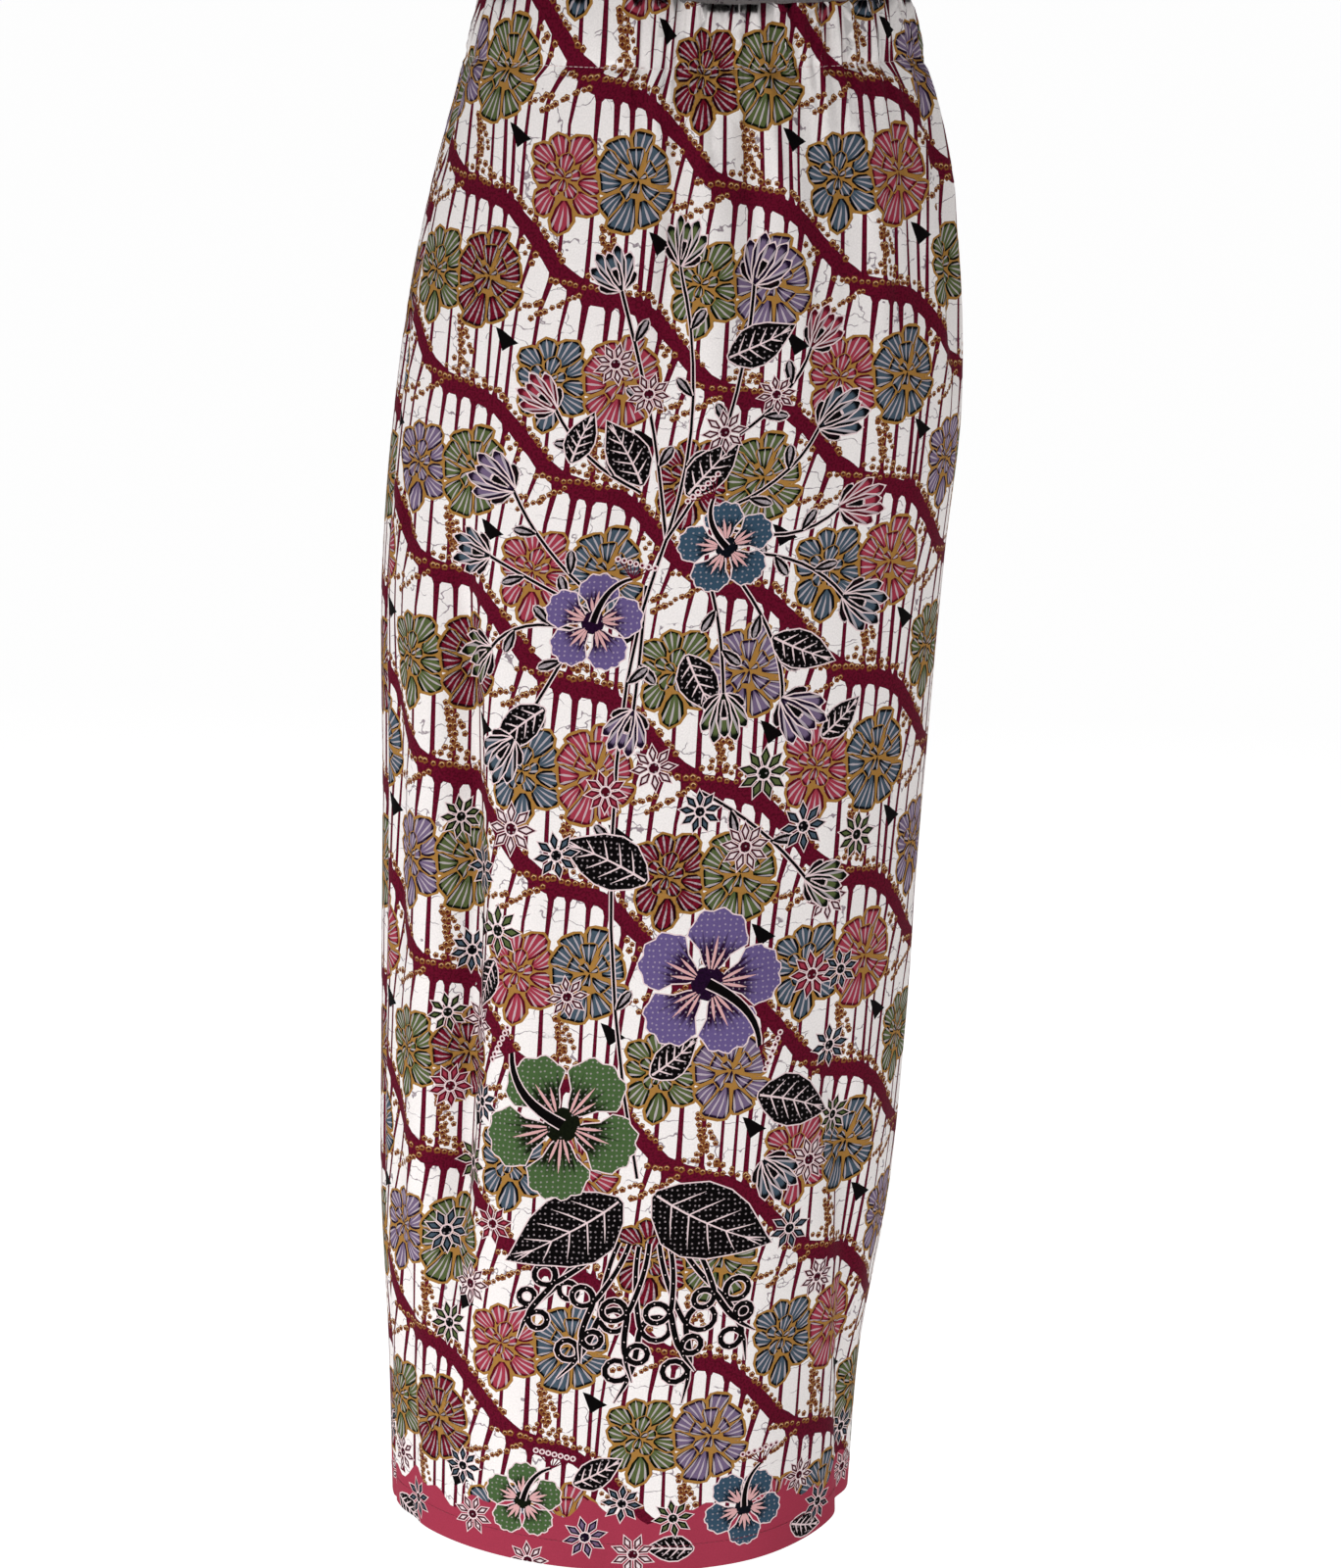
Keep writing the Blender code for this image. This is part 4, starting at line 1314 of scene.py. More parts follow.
def triangulated(points, outlines, edges=()):
    vectors = [Vector(point) for point in points]
    return delaunay_2d_cdt(vectors, edges, outlines, 0, 1e-7, True)


def cut_cloth(edge, shapes, loose):
    """Cuts the outline along what shows of the shapes, and says which shape each face shows."""
    points = [*edge]
    outlines = [list(range(len(edge)))]
    for shape in shapes:
        outlines.append(list(range(len(points), len(points) + len(shape.points))))
        points.extend(shape.points)
    flat, _, faces, _, _, owners = triangulated(points, outlines)
    shown = {}
    for face, owner in zip(faces, owners):
        if 0 in owner:
            top = max(owner)
            for a, b in zip(face, face[1:] + face[:1]):
                shown[a, b] = top
    seams = [(a, b) for (a, b), top in shown.items() if a < b and shown.get((b, a)) != top]
    seams += [(a, b) for (a, b), top in shown.items() if a > b and (b, a) not in shown]
    used = sorted({point for seam in seams for point in seam})
    number = {point: k for k, point in enumerate(used)}
    kept = [tuple(flat[point]) for point in used]
    outer = [(number[a], number[b]) for a, b in seams]
    flat, _, faces, roots, _, _ = triangulated(kept + [tuple(point) for point in loose], [], outer)
    return read_owners(flat, faces, roots, used, shown)


def read_owners(flat, faces, roots, used, shown):
    """Gives each face of the second cut its shape, from the edges that it shares with the first
    cut, and then from its neighbours."""
    first = [next((used[root] for root in found if root < len(used)), None) for found in roots]
    sides = {}
    for k, face in enumerate(faces):
        for a, b in zip(face, face[1:] + face[:1]):
            sides[a, b] = k
    tops = [None] * len(faces)
    waiting = []
    for (a, b), k in sides.items():
        seam = (first[a], first[b])
        if seam in shown and shown.get(seam[::-1]) != shown[seam]:
            if tops[k] is None:
                waiting.append(k)
            tops[k] = shown[seam]
        elif seam[::-1] in shown and seam not in shown:
            tops[k] = -1
            waiting.append(k)
    while waiting:
        k = waiting.pop()
        face = faces[k]
        for a, b in zip(face, face[1:] + face[:1]):
            near = sides.get((b, a))
            seam = (first[a], first[b])
            closed = (seam in shown or seam[::-1] in shown) and shown.get(seam) != shown.get(seam[::-1])
            if near is not None and tops[near] is None and not closed:
                tops[near] = tops[k]
                waiting.append(near)
    inside = [k for k, top in enumerate(tops) if top is not None and top >= 0]
    flat = np.array([tuple(point) for point in flat])
    return flat, [faces[k] for k in inside], np.array([tops[k] - 1 for k in inside])


print("loose points every", LOOSE_ACROSS, "by", LOOSE_DOWN, "m")

# %% [markdown]
# ## A thin shell with a printed face
#
# Cloth is thin but it has two sides. The outer side carries the whole print. The inner side
# is cut along the large shapes only, and paler, as dye shows through cotton. Both are joined
# by a narrow rim along the outline, point to point, so the sheet is closed.

# %% Loose points and the outline's loop
CLOTH = 0.0010
SLACK = 0.0012
HEM_TURN = 0.018
CASING = 0.0016
PALE = 0.50
MARGIN = 0.0005


def loose_points(edge, centres, down):
    """Evenly spread points, left out where the flowers have enough of their own."""
    low, high = edge.min(axis=0), edge.max(axis=0)
    heights = np.arange(low[1] + down / 2, FINE_ABOVE, down)
    fine_heights = np.arange(max(low[1] + LOOSE_DOWN / 2, FINE_ABOVE), high[1], LOOSE_DOWN)
    grid = []
    for k, y in enumerate((*heights, *fine_heights)):
        step = LOOSE_ACROSS * (FINE_SHARE if y > FINE_ABOVE else 1.0)
        grid += [(x, y) for x in np.arange(low[0] + (k % 2) * step / 2, high[0], step)]
    grid = np.array(grid)
    clear = grid[:, 1] < TOP_EDGE
    for centre in centres:
        away = (grid - centre) / (FLOWER_WIDE, FLOWER_TALL)
        clear &= (np.hypot(away[:, 0], away[:, 1]) > 0.85) | (grid[:, 1] > FINE_ABOVE)
    return grid[clear]


def boundary_loop(faces):
    """The outline's points in order, from the edges that have a face on one side only."""
    sides = set()
    for face in faces:
        sides.update(zip(face, face[1:] + face[:1]))
    follows = {a: b for a, b in sides if (b, a) not in sides}
    loop = [next(iter(follows))]
    while follows[loop[-1]] != loop[0]:
        loop.append(follows[loop[-1]])
    return loop


def unlifted(height):
    """The print's height at a height of the cloth, found by going back and forth."""
    found = height
    for _ in range(5):
        found = height - lift(found)
    return found


def drawn_in(shapes, layout, low, high):
    """The shapes that show on the inside, kept within the outline."""
    kept = []
    for shape in shapes:
        if not shape.shows_through:
            continue
        x, y = shape.points.T
        height = y + lift(y)
        left = np.interp(height, layout.heights, layout.left) + MARGIN
        right = np.interp(height, layout.heights, layout.right) - MARGIN
        x = np.clip(x, left, right)
        hem = hem_height(layout.panel, (x - left) / (right - left))
        bottom = unlifted(hem if low is None else np.full_like(x, low)) + MARGIN
        y = np.clip(y, bottom, unlifted(high) - MARGIN)
        kept.append(shape._replace(points=np.column_stack((x, y))))
    return kept


print("the sheet is", CLOTH * 1000, "mm thick, the casing", CASING * 1000, "mm")

# %% [markdown]
# ## One stretch of cloth
#
# A stretch is cut, worn, backed with its inner side and closed with a rim. The arrays of
# several stretches can be joined, which the waist casing needs, since it goes all the way
# round in two parts. Each corner of a face carries its dyes and its place in its shape's
# frame, because two faces that meet at a point may have different dyes there.

# %% Dyes and frames for each corner
Side = namedtuple("Side", "points outs faces flat shapes")


def shape_table(shapes):
    """The numbers that the faces take from their shapes, with the bare ground last."""
    bare = Shape(None, DYES["ground"], DYES["ground"], DYES["ground"], PLAIN, PLAIN, NO_FRAME, False)
    rows = [*shapes, bare]
    return {
        "dye": np.array([linear(shape.dye) for shape in rows]),
        "edge dye": np.array([linear(shape.edge) for shape in rows]),
        "line dye": np.array([linear(shape.line) for shape in rows]),
        "touch": np.array([shape.touch for shape in rows]),
        "petal": np.array([shape.petal for shape in rows]),
        "frame": np.array([shape.frame for shape in rows]),
    }


def corner_values(side, pale, panel_number):
    """Each attribute's value for each corner of the side's triangles."""
    table = shape_table(side.shapes[1])
    at = np.repeat(side.shapes[0], 3)
    corners = side.flat[side.faces.ravel()]
    frames = table["frame"][at]
    turn = frames[:, 2]
    away = corners - frames[:, :2]
    long = (away[:, 0] * np.cos(turn) + away[:, 1] * np.sin(turn)) / frames[:, 3]
    wide = (away[:, 1] * np.cos(turn) - away[:, 0] * np.sin(turn)) / frames[:, 4]
    wide = wide - frames[:, 5] * long**2
    ground = linear(DYES["ground"])
    crisp = 1.0 if pale == 0 else 0.0
    values = {name: table[name][at] * (1 - pale) + ground * pale for name in ("dye", "edge dye", "line dye")}
    values["touch"] = table["touch"][at] * crisp
    values["petal"] = table["petal"][at] * crisp
    values["place"] = np.column_stack((long, wide, frames[:, 4] * 1000))
    values["flat"] = np.column_stack((corners, np.full(len(corners), panel_number)))
    return values


print("each corner carries", 7, "values")

# %% Making one stretch


def one_side(layout, edge, shapes, loose):
    flat, faces, owners = cut_cloth(edge, shapes, loose)
    points, outs = worn(layout, flat[:, 0], flat[:, 1] + lift(flat[:, 1]))
    return Side(points, outs, np.array(faces), flat, (owners, shapes))


def make_stretch(layout, low, high, roll, thickness):
    """The outer and the inner side of a stretch between two heights, the outline's loop and
    the inner points that match it."""
    edge = panel_edge(layout, low, high + roll)
    edge[:, 1] = unlifted(edge[:, 1])
    reach_low, reach_high = edge.min(axis=0), edge.max(axis=0)
    near = []
    for shape in prints[layout.panel.name]:
        above = (shape.points.max(axis=0) > reach_low).all()
        if above and (shape.points.min(axis=0) < reach_high).all():
            near.append(shape)
    pairs = pairs_on(layout.panel.name)
    centres = [(pair.x + side * PAIR_SPREAD, pair.y) for pair in pairs for side in (-1, 1)]
    outer = one_side(layout, edge, near, loose_points(edge, centres, LOOSE_DOWN))
    loop = np.array(boundary_loop(outer.faces.tolist()))
    inner_edge = outer.flat[loop]
    inner_edge[:, 1] = np.minimum(inner_edge[:, 1], unlifted(high))
    through = drawn_in(near, layout, low, high) if low is None else []
    inner = one_side(layout, inner_edge, through, loose_points(inner_edge, (), INNER_DOWN))
    from_hem = inner.flat[:, 1] + lift(inner.flat[:, 1]) - HEM_AT_SIDES
    deep = thickness + (SLACK * (1 - np.exp(-np.clip(from_hem, 0, None) / HEM_TURN)) if low is None else 0)
    inner = inner._replace(points=inner.points - level_of(inner.outs) * np.reshape(deep, (-1, 1)))
    at = {tuple(place): k for k, place in enumerate(np.round(inner.flat, 6))}
    match = np.array([at[tuple(place)] for place in np.round(inner_edge, 6)])
    print(layout.panel.name, "outer faces:", len(outer.faces), "inner faces:", len(inner.faces))
    return outer, inner, loop, match


def level_of(outs):
    level = outs * (1, 1, 0)
    return level / np.linalg.norm(level, axis=1, keepdims=True)


stretches = {
    "front_panel": [make_stretch(layouts[0], None, STITCH_LINE, 0.0, CLOTH)],
    "back_panel": [make_stretch(layouts[1], None, STITCH_LINE, 0.0, CLOTH)],
    "waist_casing": [
        make_stretch(layout, STITCH_LINE, TOP_EDGE, math.pi * ROLL, CASING) for layout in layouts
    ],
}

# %% [markdown]
# ## From arrays to a mesh
#
# The sides and rims are put together into one mesh. Its smooth directions are the ones from
# the formula, stored as custom normals, and the dyes and frames become attributes that the
# material reads. Foreach_set copies whole arrays at once, which is far quicker than a loop.

# %% Joining the sides into one piece
TOUCHING = 0.00001


def rim_faces(loop, match):
    """The strip between the outline and its match on the inner side, as triangles."""
    ahead, match_ahead = np.roll(loop, -1), np.roll(match, -1)
    first = np.column_stack((loop, match, ahead))
    second = np.column_stack((ahead, match, match_ahead))
    faces = np.concatenate((first, second))
    whole = (faces != np.roll(faces, 1, axis=1)).all(axis=1)
    return faces[whole]


def rim_values(outer, count, panel_number):
    values = {key: np.zeros((count * 3, 3)) for key in corner_values(outer, 0, panel_number)}
    for key in ("dye", "edge dye", "line dye"):
        values[key] += linear(DYES["ground"])
    return values


def joined(name, parts, pale):
    """One closed mesh from several stretches, with attributes at the corners of its faces."""
    points, faces, outs, values = [], [], [], []
    start = 0
    for number, (outer, inner, loop, match) in enumerate(parts):
        numbers = start + len(outer.points) + np.arange(len(inner.points))
        near = np.linalg.norm(outer.points[loop] - inner.points[match], axis=1) < TOUCHING
        numbers[match[near]] = start + loop[near]
        rim = rim_faces(start + loop, numbers[match])
        inner = inner._replace(faces=inner.faces[:, ::-1])
        points += [outer.points, inner.points]
        faces += [outer.faces + start, numbers[inner.faces], rim]
        every = np.concatenate(points)
        ahead, across = every[rim[:, 1]] - every[rim[:, 0]], every[rim[:, 2]] - every[rim[:, 0]]
        away = np.cross(ahead, across)
        away = away / np.maximum(np.linalg.norm(away, axis=1, keepdims=True), 1e-12)
        outs += [outer.outs[outer.faces.ravel()], -inner.outs[inner.faces.ravel()], np.repeat(away, 3, axis=0)]
        values.append(corner_values(outer, 0, number))
        values.append(corner_values(inner, pale, number))
        values.append(rim_values(outer, len(rim), number))
        start += len(outer.points) + len(inner.points)
    used, faces = np.unique(np.concatenate(faces), return_inverse=True)
    faces = faces.reshape(-1, 3)
    mesh = bpy.data.meshes.new(name)
    mesh.from_pydata(np.concatenate(points)[used].tolist(), [], faces.tolist())
    mesh.shade_smooth()
    mesh.normals_split_custom_set(np.concatenate(outs).tolist())
    for key in values[0]:
        found = np.concatenate([value[key] for value in values])
        coloured = "dye" in key
        made = mesh.attributes.new(key, "FLOAT_COLOR" if coloured else "FLOAT_VECTOR", "CORNER")
        if coloured:
            found = np.column_stack((found, np.ones(len(found))))
        made.data.foreach_set("color" if coloured else "vector", found.astype(np.float32).ravel())
    piece = bpy.data.objects.new(name, mesh)
    bpy.context.scene.collection.objects.link(piece)
    print(name, "has", len(mesh.polygons), "triangles and", len(mesh.vertices), "points")
    return piece


front_cloth = joined("front_panel_cloth", stretches["front_panel"], PALE)
back_cloth = joined("back_panel_cloth", stretches["back_panel"], PALE)
casing_cloth = joined("waist_casing_cloth", stretches["waist_casing"], 0.0)

# %% [markdown]
# ## The batik finish
#
# One material finishes all the cloth. It starts from the dye at each point. Inside a petal it
# measures how far the point is from the petal's profile, and paints the gold line, the dark
# edge and the pale strokes by that distance. Rings, frayed hearts and dots come from the same
# frames. Small helpers keep the node wiring readable.

# %% Helpers for nodes
def add_node(tree, kind, inputs, **settings):
    made = tree.nodes.new(kind)
    for name, value in settings.items():
        setattr(made, name, value)
    for socket, value in inputs.items():
        if isinstance(value, bpy.types.NodeSocket):
            tree.links.new(value, made.inputs[socket])
        else:
            made.inputs[socket].default_value = value
    return made


def sums(tree, operation, *values):
    """A Math node for one sum."""
    return add_node(tree, "ShaderNodeMath", dict(enumerate(values)), operation=operation).outputs[0]


def between(tree, value, low, high):
    """0 below low, 1 above high, and smooth between them."""
    inputs = {"Value": value, "From Min": low, "From Max": high}
    return add_node(tree, "ShaderNodeMapRange", inputs, interpolation_type="SMOOTHSTEP").outputs[0]


def mixed(tree, share, first, second):
    inputs = {"Factor": share, "A": first, "B": second}
    made = tree.nodes.new("ShaderNodeMix")
    made.data_type = "RGBA"
    for socket in made.inputs:
        if socket.type == "RGBA" and socket.name in ("A", "B"):
            value = inputs[socket.name]
            if isinstance(value, bpy.types.NodeSocket):
                tree.links.new(value, socket)
            else:
                socket.default_value = value
    tree.links.new(share, made.inputs["Factor"])
    return next(socket for socket in made.outputs if socket.type == "RGBA")


def read(tree, name, output="Vector"):
    return add_node(tree, "ShaderNodeAttribute", {}, attribute_name=name).outputs[output]


def parts_of(tree, vector):
    return add_node(tree, "ShaderNodeSeparateXYZ", {0: vector}).outputs


def opaque(dye):
    return (*linear(dye), 1.0)


print("the helpers make Math, Map Range, Mix and Attribute nodes")

# %% [markdown]
# ## Petals, rings and hearts inside the material
#
# A colour ramp can hold a petal's profile exactly: its factor is the place along the petal
# and its grey is the half width there. Strokes are cells across the petal, which spread
# as the petal widens.

# %% What the material draws inside a shape
LINE_WIDE = 0.96
EDGE_WIDE = 2.55
EDGE_FADE = 3.4
STROKE_SHARE = 0.165
STROKE_CLEAR = 1.15
SLIM_SCALE = 0.45
STROKE_PALE = (0.70, 0.60, 0.64, 1.0)
RING_EYE = 0.40
# How far from its middle a ring carries its painted highlight.
RING_HIGHLIGHT = 0.60


def profile_ramp(tree, along, profile):
    ramp = tree.nodes.new("ShaderNodeValToRGB")
    tree.links.new(along, ramp.inputs[0])
    ends = ramp.color_ramp.elements
    for k, (at, half) in enumerate(profile):
        stop = ends[k] if k < 2 else ends.new(at)
        stop.position = at
        stop.color = (half, half, half, 1.0)
    return ramp.outputs[0]


def petal_paint(tree, base):
    along, across, wide = parts_of(tree, read(tree, "place"))
    fan, pointed, strokes = parts_of(tree, read(tree, "petal"))
    slim = sums(tree, "LESS_THAN", strokes, SLIM_MARK / 2)
    is_petal = sums(tree, "ADD", sums(tree, "ADD", fan, pointed), slim)
    side = sums(tree, "ABSOLUTE", across)
    fan_half = profile_ramp(tree, along, sorted(FAN))
    pointed_half = profile_ramp(tree, along, sorted(POINTED))
    slim_half = profile_ramp(tree, along, sorted(SLIM))
    half = sums(tree, "MULTIPLY", fan_half, fan)
    half = sums(tree, "MULTIPLY_ADD", pointed_half, pointed, half)
    half = sums(tree, "MULTIPLY_ADD", slim_half, slim, half)
    from_side = sums(tree, "MULTIPLY", sums(tree, "SUBTRACT", half, side), wide)
    to_end = sums(tree, "MULTIPLY", sums(tree, "SUBTRACT", 1.0, along), sums(tree, "MULTIPLY", wide, 2.6))
    inside = sums(tree, "MINIMUM", from_side, to_end)
    inside = sums(tree, "MULTIPLY", inside, sums(tree, "MULTIPLY_ADD", slim, SLIM_SCALE, 1.0))
    widening = sums(tree, "MULTIPLY_ADD", along, 0.95, 0.28)
    cell = sums(tree, "MULTIPLY", sums(tree, "MULTIPLY_ADD", sums(tree, "DIVIDE", across, widening), 0.5, 0.5), strokes)
    middle = sums(tree, "ABSOLUTE", sums(tree, "SUBTRACT", sums(tree, "FRACT", cell), 0.5))
    start = between(tree, along, 0.10, 0.45)
    stop = sums(tree, "SUBTRACT", 1.0, between(tree, along, 0.66, 1.0))
    stroke_half = sums(tree, "MULTIPLY", sums(tree, "MULTIPLY", start, stop), STROKE_SHARE)
    stroke = sums(tree, "LESS_THAN", middle, stroke_half)
    stroke = sums(tree, "MULTIPLY", stroke, sums(tree, "GREATER_THAN", strokes, 0.0))
    body = between(tree, inside, EDGE_WIDE - 0.3, EDGE_FADE)
    in_line = sums(tree, "LESS_THAN", inside, LINE_WIDE)
    clear = sums(tree, "GREATER_THAN", inside, STROKE_CLEAR)
    lit = mixed(tree, body, read(tree, "edge dye", "Color"), base)
    pale = mixed(tree, sums(tree, "MULTIPLY", sums(tree, "MULTIPLY", stroke, clear), 0.62), lit, STROKE_PALE)
    lined = mixed(tree, in_line, pale, read(tree, "line dye", "Color"))
    return mixed(tree, is_petal, base, lined)


def ring_paint(tree, base, ring):
    along, across, _ = parts_of(tree, read(tree, "place"))
    away = sums(tree, "SQRT", sums(tree, "ADD", sums(tree, "POWER", along, 2.0), sums(tree, "POWER", across, 2.0)))
    # A pale spot on the upper side of each ring is a painted highlight, lighter where light would catch the ring.
    above = sums(tree, "GREATER_THAN", across, 0.12)
    pale = sums(tree, "MULTIPLY", sums(tree, "MULTIPLY", ring, above), sums(tree, "LESS_THAN", away, RING_HIGHLIGHT))
    eye = sums(tree, "MULTIPLY", ring, sums(tree, "LESS_THAN", away, RING_EYE))
    lit = mixed(tree, pale, base, opaque(Dye(226, 190, 138)))
    return mixed(tree, eye, lit, opaque(Dye(84, 30, 28)))


print("a gold line ends", LINE_WIDE, "mm inside a petal, its dark edge", EDGE_WIDE, "mm inside")

# %% Frayed hearts, dots and crackle
HEART_ENDS = 0.56
FRAY = 0.34
DOT_CELL = 0.0037
CRACK_CELL = 0.021


def heart_paint(tree, base, heart):
    """A dark heart whose edge frays outwards along the petals."""
    along, across, _ = parts_of(tree, read(tree, "place"))
    away = sums(tree, "SQRT", sums(tree, "ADD", sums(tree, "POWER", along, 2.0), sums(tree, "POWER", across, 2.0)))
    turn = sums(tree, "ARCTAN2", across, along)
    spokes = add_node(tree, "ShaderNodeCombineXYZ", {0: sums(tree, "MULTIPLY", turn, 9.0), 1: away}).outputs[0]
    fray = add_node(tree, "ShaderNodeTexNoise", {"Vector": spokes, "Scale": 1.6, "Detail": 2.0}).outputs[0]
    reach = sums(tree, "MULTIPLY_ADD", sums(tree, "SUBTRACT", fray, 0.5), FRAY * 2, away)
    outside = between(tree, reach, HEART_ENDS - 0.10, HEART_ENDS + 0.14)
    dark = sums(tree, "MULTIPLY", sums(tree, "SUBTRACT", 1.0, outside), heart)
    return mixed(tree, dark, base, read(tree, "edge dye", "Color"))


def dots_paint(tree, base, dotted, heart):
    """Small pale dots, on black leaves and, fainter, on the blooms."""
    flat = read(tree, "flat")
    inputs = {"Vector": flat, "Scale": 1 / DOT_CELL, "Randomness": 0.35}
    cells = add_node(tree, "ShaderNodeTexVoronoi", inputs, voronoi_dimensions="2D").outputs["Distance"]
    dot = sums(tree, "LESS_THAN", cells, 0.17)
    share = sums(tree, "ADD", sums(tree, "MULTIPLY", dotted, 0.48), sums(tree, "MULTIPLY", heart, 0.35))
    return mixed(tree, sums(tree, "MULTIPLY", dot, share), base, (0.72, 0.60, 0.64, 1.0))


def crackle_paint(tree, base, ground):
    """Fine grey lines where the wax cracked, mostly level and often broken off."""
    flat = read(tree, "flat")
    squeezed = add_node(tree, "ShaderNodeVectorMath", {0: flat, 1: (0.45, 1.25, 1.0)}, operation="MULTIPLY").outputs[0]
    bend = add_node(tree, "ShaderNodeTexNoise", {"Vector": flat, "Scale": 55.0, "Detail": 3.0}).outputs["Color"]
    shift = add_node(tree, "ShaderNodeVectorMath", {0: bend, 3: 0.030}, operation="SCALE").outputs[0]
    bent = add_node(tree, "ShaderNodeVectorMath", {0: squeezed, 1: shift}, operation="ADD").outputs[0]
    inputs = {"Vector": bent, "Scale": 1 / CRACK_CELL}
    cells = add_node(tree, "ShaderNodeTexVoronoi", inputs, voronoi_dimensions="2D", feature="DISTANCE_TO_EDGE")
    crack = sums(tree, "SUBTRACT", 1.0, between(tree, cells.outputs["Distance"], 0.008, 0.026))
    broken = add_node(tree, "ShaderNodeTexNoise", {"Vector": flat, "Scale": 75.0, "Detail": 2.0}).outputs[0]
    share = sums(tree, "MULTIPLY", crack, between(tree, broken, 0.39, 0.50))
    return mixed(tree, sums(tree, "MULTIPLY", sums(tree, "MULTIPLY", share, ground), 0.80), base, (0.16, 0.10, 0.14, 1.0))


print("crackle cells are about", CRACK_CELL * 1000, "mm")

# %% [markdown]
# ## Cotton under the dye
#
# The cloth is a plain weave, matt with a very faint sheen. Two crossed waves raise its
# threads, and a little noise keeps the dye from looking flat. The roughness and the sheen are
# the same all over, so they are set on the shader's own sockets.

# %% The cloth's material
THREAD = 0.00042
WAVE_UNIT = 2 * math.pi / 20
DEEP_DYE = 0.06
DYE_POOLS = 0.42


def batik_material(name, roughness, sheen):
    material = bpy.data.materials.new(name)
    material.use_nodes = True
    tree = material.node_tree
    shader = tree.nodes["Principled BSDF"]
    flat = read(tree, "flat")
    ring, heart, dotted = parts_of(tree, read(tree, "touch"))
    base = read(tree, "dye", "Color")
    lightest = add_node(tree, "ShaderNodeRGBToBW", {0: base}).outputs[0]
    ground = sums(tree, "GREATER_THAN", lightest, 0.76)
    colour = crackle_paint(tree, base, ground)
    colour = heart_paint(tree, colour, heart)
    colour = petal_paint(tree, colour)
    colour = ring_paint(tree, colour, ring)
    colour = dots_paint(tree, colour, dotted, heart)
    patchy = add_node(tree, "ShaderNodeTexNoise", {"Vector": flat, "Scale": 900.0, "Detail": 3.0}).outputs[0]
    shade = add_node(
        tree, "ShaderNodeMapRange", {"Value": patchy, "From Min": 0.25, "From Max": 0.75, "To Min": 0.90, "To Max": 1.06}
    ).outputs[0]
    pooled = add_node(tree, "ShaderNodeTexNoise", {"Vector": flat, "Scale": 620.0, "Detail": 2.0}).outputs[0]
    strong = sums(tree, "LESS_THAN", lightest, DEEP_DYE)
    drop = sums(tree, "MULTIPLY", sums(tree, "MULTIPLY", between(tree, pooled, 0.44, 0.62), strong), DYE_POOLS)
    shade = sums(tree, "MULTIPLY", shade, sums(tree, "SUBTRACT", 1.0, drop))
    toned = add_node(tree, "ShaderNodeHueSaturation", {"Color": colour, "Value": shade}).outputs[0]
    tree.links.new(toned, shader.inputs["Base Color"])
    warp = add_node(
        tree, "ShaderNodeTexWave", {"Vector": flat, "Scale": WAVE_UNIT / THREAD, "Distortion": 0.4}, bands_direction="X"
    ).outputs["Fac"]
    weft = add_node(
        tree, "ShaderNodeTexWave", {"Vector": flat, "Scale": WAVE_UNIT / THREAD, "Distortion": 0.4}, bands_direction="Y"
    ).outputs["Fac"]
    weave = sums(tree, "ADD", warp, weft)
    bump = add_node(tree, "ShaderNodeBump", {"Height": weave, "Strength": 0.18, "Distance": 0.0001}).outputs[0]
    tree.links.new(bump, shader.inputs["Normal"])
    shader.inputs["Roughness"].default_value = roughness
    shader.inputs["Specular IOR Level"].default_value = 0.05
    shader.inputs["Sheen Weight"].default_value = sheen
    shader.inputs["Sheen Roughness"].default_value = 0.5
    return material


batik_cotton = batik_material("batik_cotton", 0.82, 0.01)
casing_cotton = batik_material("waist_casing", 0.86, 0.01)
for piece, cotton in ((front_cloth, batik_cotton), (back_cloth, batik_cotton), (casing_cloth, casing_cotton)):
    piece.data.materials.append(cotton)
print("material nodes:", len(batik_cotton.node_tree.nodes))

# %% [markdown]
# ## Sewing
#
# Two rows of machine stitches show on such a skirt: one holds the casing shut under the
# elastic and one holds the turned hem. Each stitch is a short thread that dips into the cloth
# at both ends. They are built as one mesh for each row, from the same worn points as the cloth,
# so they follow every gather.

# %% Rows of stitches
STITCH = 0.0027
STITCH_GAP = 0.0007
THREAD_RADIUS = 0.00021
STITCH_RINGS = np.array((0.0, 0.22, 0.78, 1.0))
RING_SIDES = 5


def stitch_row(layout, height_of):
    """The points and faces of one row of stitches across a panel."""
    edge = np.interp(height_of(0.5), layout.heights, layout.right - layout.left)
    count = int((edge - 0.004) / (STITCH + STITCH_GAP))
    starts = (np.arange(count) + 0.5) / count
    shares = starts[:, None] + (STITCH_RINGS - 0.5)[None, :] * STITCH / edge
    v = height_of(shares)
    left = np.interp(v, layout.heights, layout.left)
    right = np.interp(v, layout.heights, layout.right)
    u = left + (right - left) * shares
    where, out = worn(layout, u.ravel(), v.ravel())
    where, out = where.reshape(count, 4, 3), out.reshape(count, 4, 3)
    rise = np.array((-0.00008, 0.00012, 0.00012, -0.00008))[None, :, None]
    slim = np.array((0.55, 1.0, 1.0, 0.55))[None, :, None, None]
    along = where[:, 3:] - where[:, :1]
    along = along / np.linalg.norm(along, axis=2, keepdims=True)
    side = np.cross(out, along)
    turn = np.arange(RING_SIDES) * 2 * math.pi / RING_SIDES
    ring = out[:, :, None] * np.cos(turn)[None, None, :, None] + side[:, :, None] * np.sin(turn)[None, None, :, None]
    points = (where + out * rise)[:, :, None] + ring * slim * THREAD_RADIUS
    faces = []
    for stitch in range(count):
        first = stitch * 4 * RING_SIDES
        for ring_number in range(3):
            for k in range(RING_SIDES):
                a = first + ring_number * RING_SIDES + k
                b = first + ring_number * RING_SIDES + (k + 1) % RING_SIDES
                faces.append((a, b, b + RING_SIDES, a + RING_SIDES))
        faces.append(tuple(first + k for k in reversed(range(RING_SIDES))))
        faces.append(tuple(first + 3 * RING_SIDES + k for k in range(RING_SIDES)))
    return points.reshape(-1, 3), faces


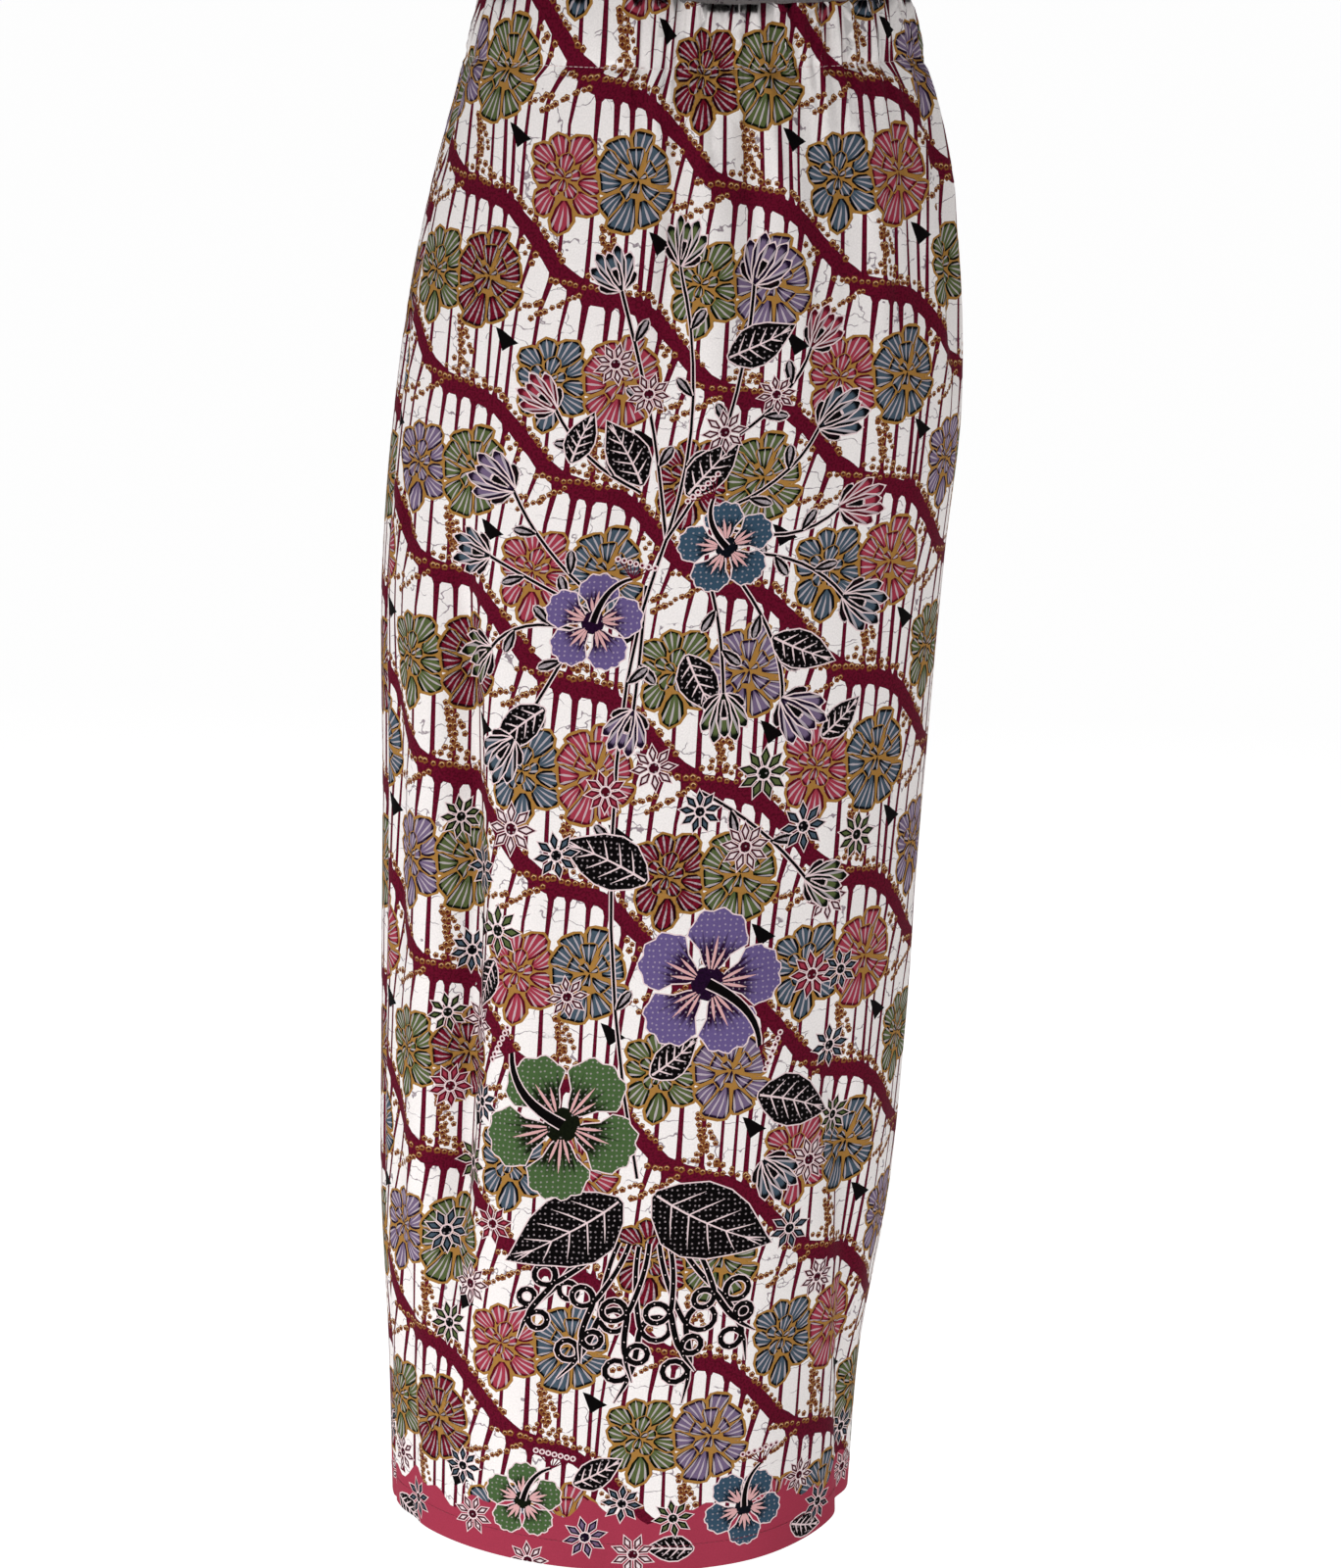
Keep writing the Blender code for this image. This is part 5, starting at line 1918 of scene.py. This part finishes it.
def make_stitches(name, height_for):
    points, faces = [], []
    for layout in layouts:
        row_points, row_faces = stitch_row(layout, height_for(layout.panel))
        faces.extend(tuple(k + len(points) for k in face) for face in row_faces)
        points.extend(row_points.tolist())
    mesh = bpy.data.meshes.new(name)
    mesh.from_pydata(points, [], faces)
    mesh.shade_smooth()
    piece = bpy.data.objects.new(name, mesh)
    bpy.context.scene.collection.objects.link(piece)
    print(name, "has", len(faces) // (3 * RING_SIDES + 2), "stitches")
    return piece


casing_stitches = make_stitches("casing_stitches", lambda panel: lambda share: share * 0 + STITCH_LINE)
hem_stitches = make_stitches("hem_stitches", lambda panel: lambda share: hem_height(panel, share) + HEM_TURN)

# %% Thread
def thread_material(name, shaded, lit):
    """Twisted cotton thread, with the light and shade of its twist painted as stripes between a shaded and a lit copy
    of one dye.
    """
    material = bpy.data.materials.new(name)
    material.use_nodes = True
    tree = material.node_tree
    shader = tree.nodes["Principled BSDF"]
    place = add_node(tree, "ShaderNodeTexCoord", {}).outputs["Object"]
    # The diagonal stripes are painted shade and highlight: the darker and lighter side of each twist of the thread.
    twist_shading = add_node(tree, "ShaderNodeTexWave", {"Vector": place, "Scale": 900.0}, bands_direction="DIAGONAL")
    tree.links.new(mixed(tree, twist_shading.outputs["Fac"], opaque(shaded), opaque(lit)), shader.inputs["Base Color"])
    shader.inputs["Roughness"].default_value = 0.6
    return material


# Each thread gets a shaded and a lit copy of its dye, for the painted shade along its twist.
casing_stitches.data.materials.append(thread_material("pale thread", Dye(214, 186, 186), Dye(236, 216, 214)))
hem_stitches.data.materials.append(thread_material("rose thread", Dye(138, 44, 62), Dye(166, 56, 78)))
print("thread is", THREAD_RADIUS * 2000, "mm thick")

# %% [markdown]
# ## Tying the pieces to the model
#
# Each piece rides on the model's one body, and the solids that the three sheets stand
# for are hidden.


for piece in (front_cloth, back_cloth, casing_cloth, casing_stitches, hem_stitches):
    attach(piece, "root")
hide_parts("front_panel")
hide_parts("back_panel")
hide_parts("waist_casing")

# %% [markdown]
# ## Floor, light and camera
#
# The skirt is seen from a little above its waist, straight on and tilted down. A pale floor lies well
# below the hem, and the light is broad and soft, a little stronger from the front left, so
# that the folds read but the print stays clear.

# %% The stage
FLOOR = -1.45
FLOOR_HALF = 40.0
floor_mesh = bpy.data.meshes.new("floor")
floor_mesh.from_pydata(
    [(-FLOOR_HALF, -FLOOR_HALF, FLOOR), (FLOOR_HALF, -FLOOR_HALF, FLOOR), (FLOOR_HALF, FLOOR_HALF, FLOOR), (-FLOOR_HALF, FLOOR_HALF, FLOOR)],
    [],
    [(0, 1, 2, 3)],
)
floor = bpy.data.objects.new("floor", floor_mesh)
bpy.context.scene.collection.objects.link(floor)
floor_paint = bpy.data.materials.new("floor")
floor_paint.use_nodes = True
floor_paint.node_tree.nodes["Principled BSDF"].inputs["Base Color"].default_value = (0.93, 0.93, 0.93, 1.0)
floor_paint.node_tree.nodes["Principled BSDF"].inputs["Roughness"].default_value = 0.9
floor_paint.node_tree.nodes["Principled BSDF"].inputs["Emission Color"].default_value = (1.0, 1.0, 1.0, 1.0)
floor_paint.node_tree.nodes["Principled BSDF"].inputs["Emission Strength"].default_value = 0.80
floor_mesh.materials.append(floor_paint)
print("the floor is", FLOOR, "m from the waist")

# %% Light
bpy.context.scene.view_settings.view_transform = "Standard"
ROOM_BRIGHT = 0.20
WALL_BRIGHT = 0.97
world = bpy.data.worlds.new("soft room")
bpy.context.scene.world = world
world.use_nodes = True
room = world.node_tree.nodes["Background"]
room.inputs["Color"].default_value = (1.0, 1.0, 1.0, 1.0)
seen = add_node(world.node_tree, "ShaderNodeLightPath", {}).outputs["Is Camera Ray"]
bright = sums(world.node_tree, "MULTIPLY_ADD", seen, WALL_BRIGHT - ROOM_BRIGHT, ROOM_BRIGHT)
world.node_tree.links.new(bright, room.inputs["Strength"])
Lamp = namedtuple("Lamp", "name x y z size power")
LAMPS = (
    Lamp("front left", -1.25, -1.40, -1.10, 1.0, 16.0),
    Lamp("front right", 1.7, -2.0, -1.0, 1.4, 5.0),
    Lamp("back", 0.3, 2.6, 1.0, 2.0, 12.0),
)
AIM = Vector((0.0, 0.0, -0.45))
for lamp in LAMPS:
    light = bpy.data.lights.new(lamp.name, "AREA")
    light.size = lamp.size
    light.energy = lamp.power
    stand = bpy.data.objects.new(lamp.name, light)
    stand.location = (lamp.x, lamp.y, lamp.z)
    stand.rotation_euler = (AIM - stand.location).to_track_quat("-Z", "Y").to_euler()
    bpy.context.scene.collection.objects.link(stand)
print("lamps:", [lamp.name for lamp in LAMPS])

# %% Camera
CAMERA_PLACE = (-0.0167, -2.646, 0.2241)
CAMERA_DOWN = 15.2
CAMERA_SCALE = 4250.0
PICTURE_TALL = 1600
camera_data = bpy.data.cameras.new("camera")
camera_data.sensor_width = 36.0
camera_data.lens = camera_data.sensor_width * CAMERA_SCALE / PICTURE_TALL
camera = bpy.data.objects.new("camera", camera_data)
camera.location = CAMERA_PLACE
camera.rotation_euler = (math.radians(90.0 - CAMERA_DOWN), 0.0, 0.0)
bpy.context.scene.collection.objects.link(camera)
bpy.context.scene.camera = camera
print("lens:", round(camera_data.lens, 1), "mm")
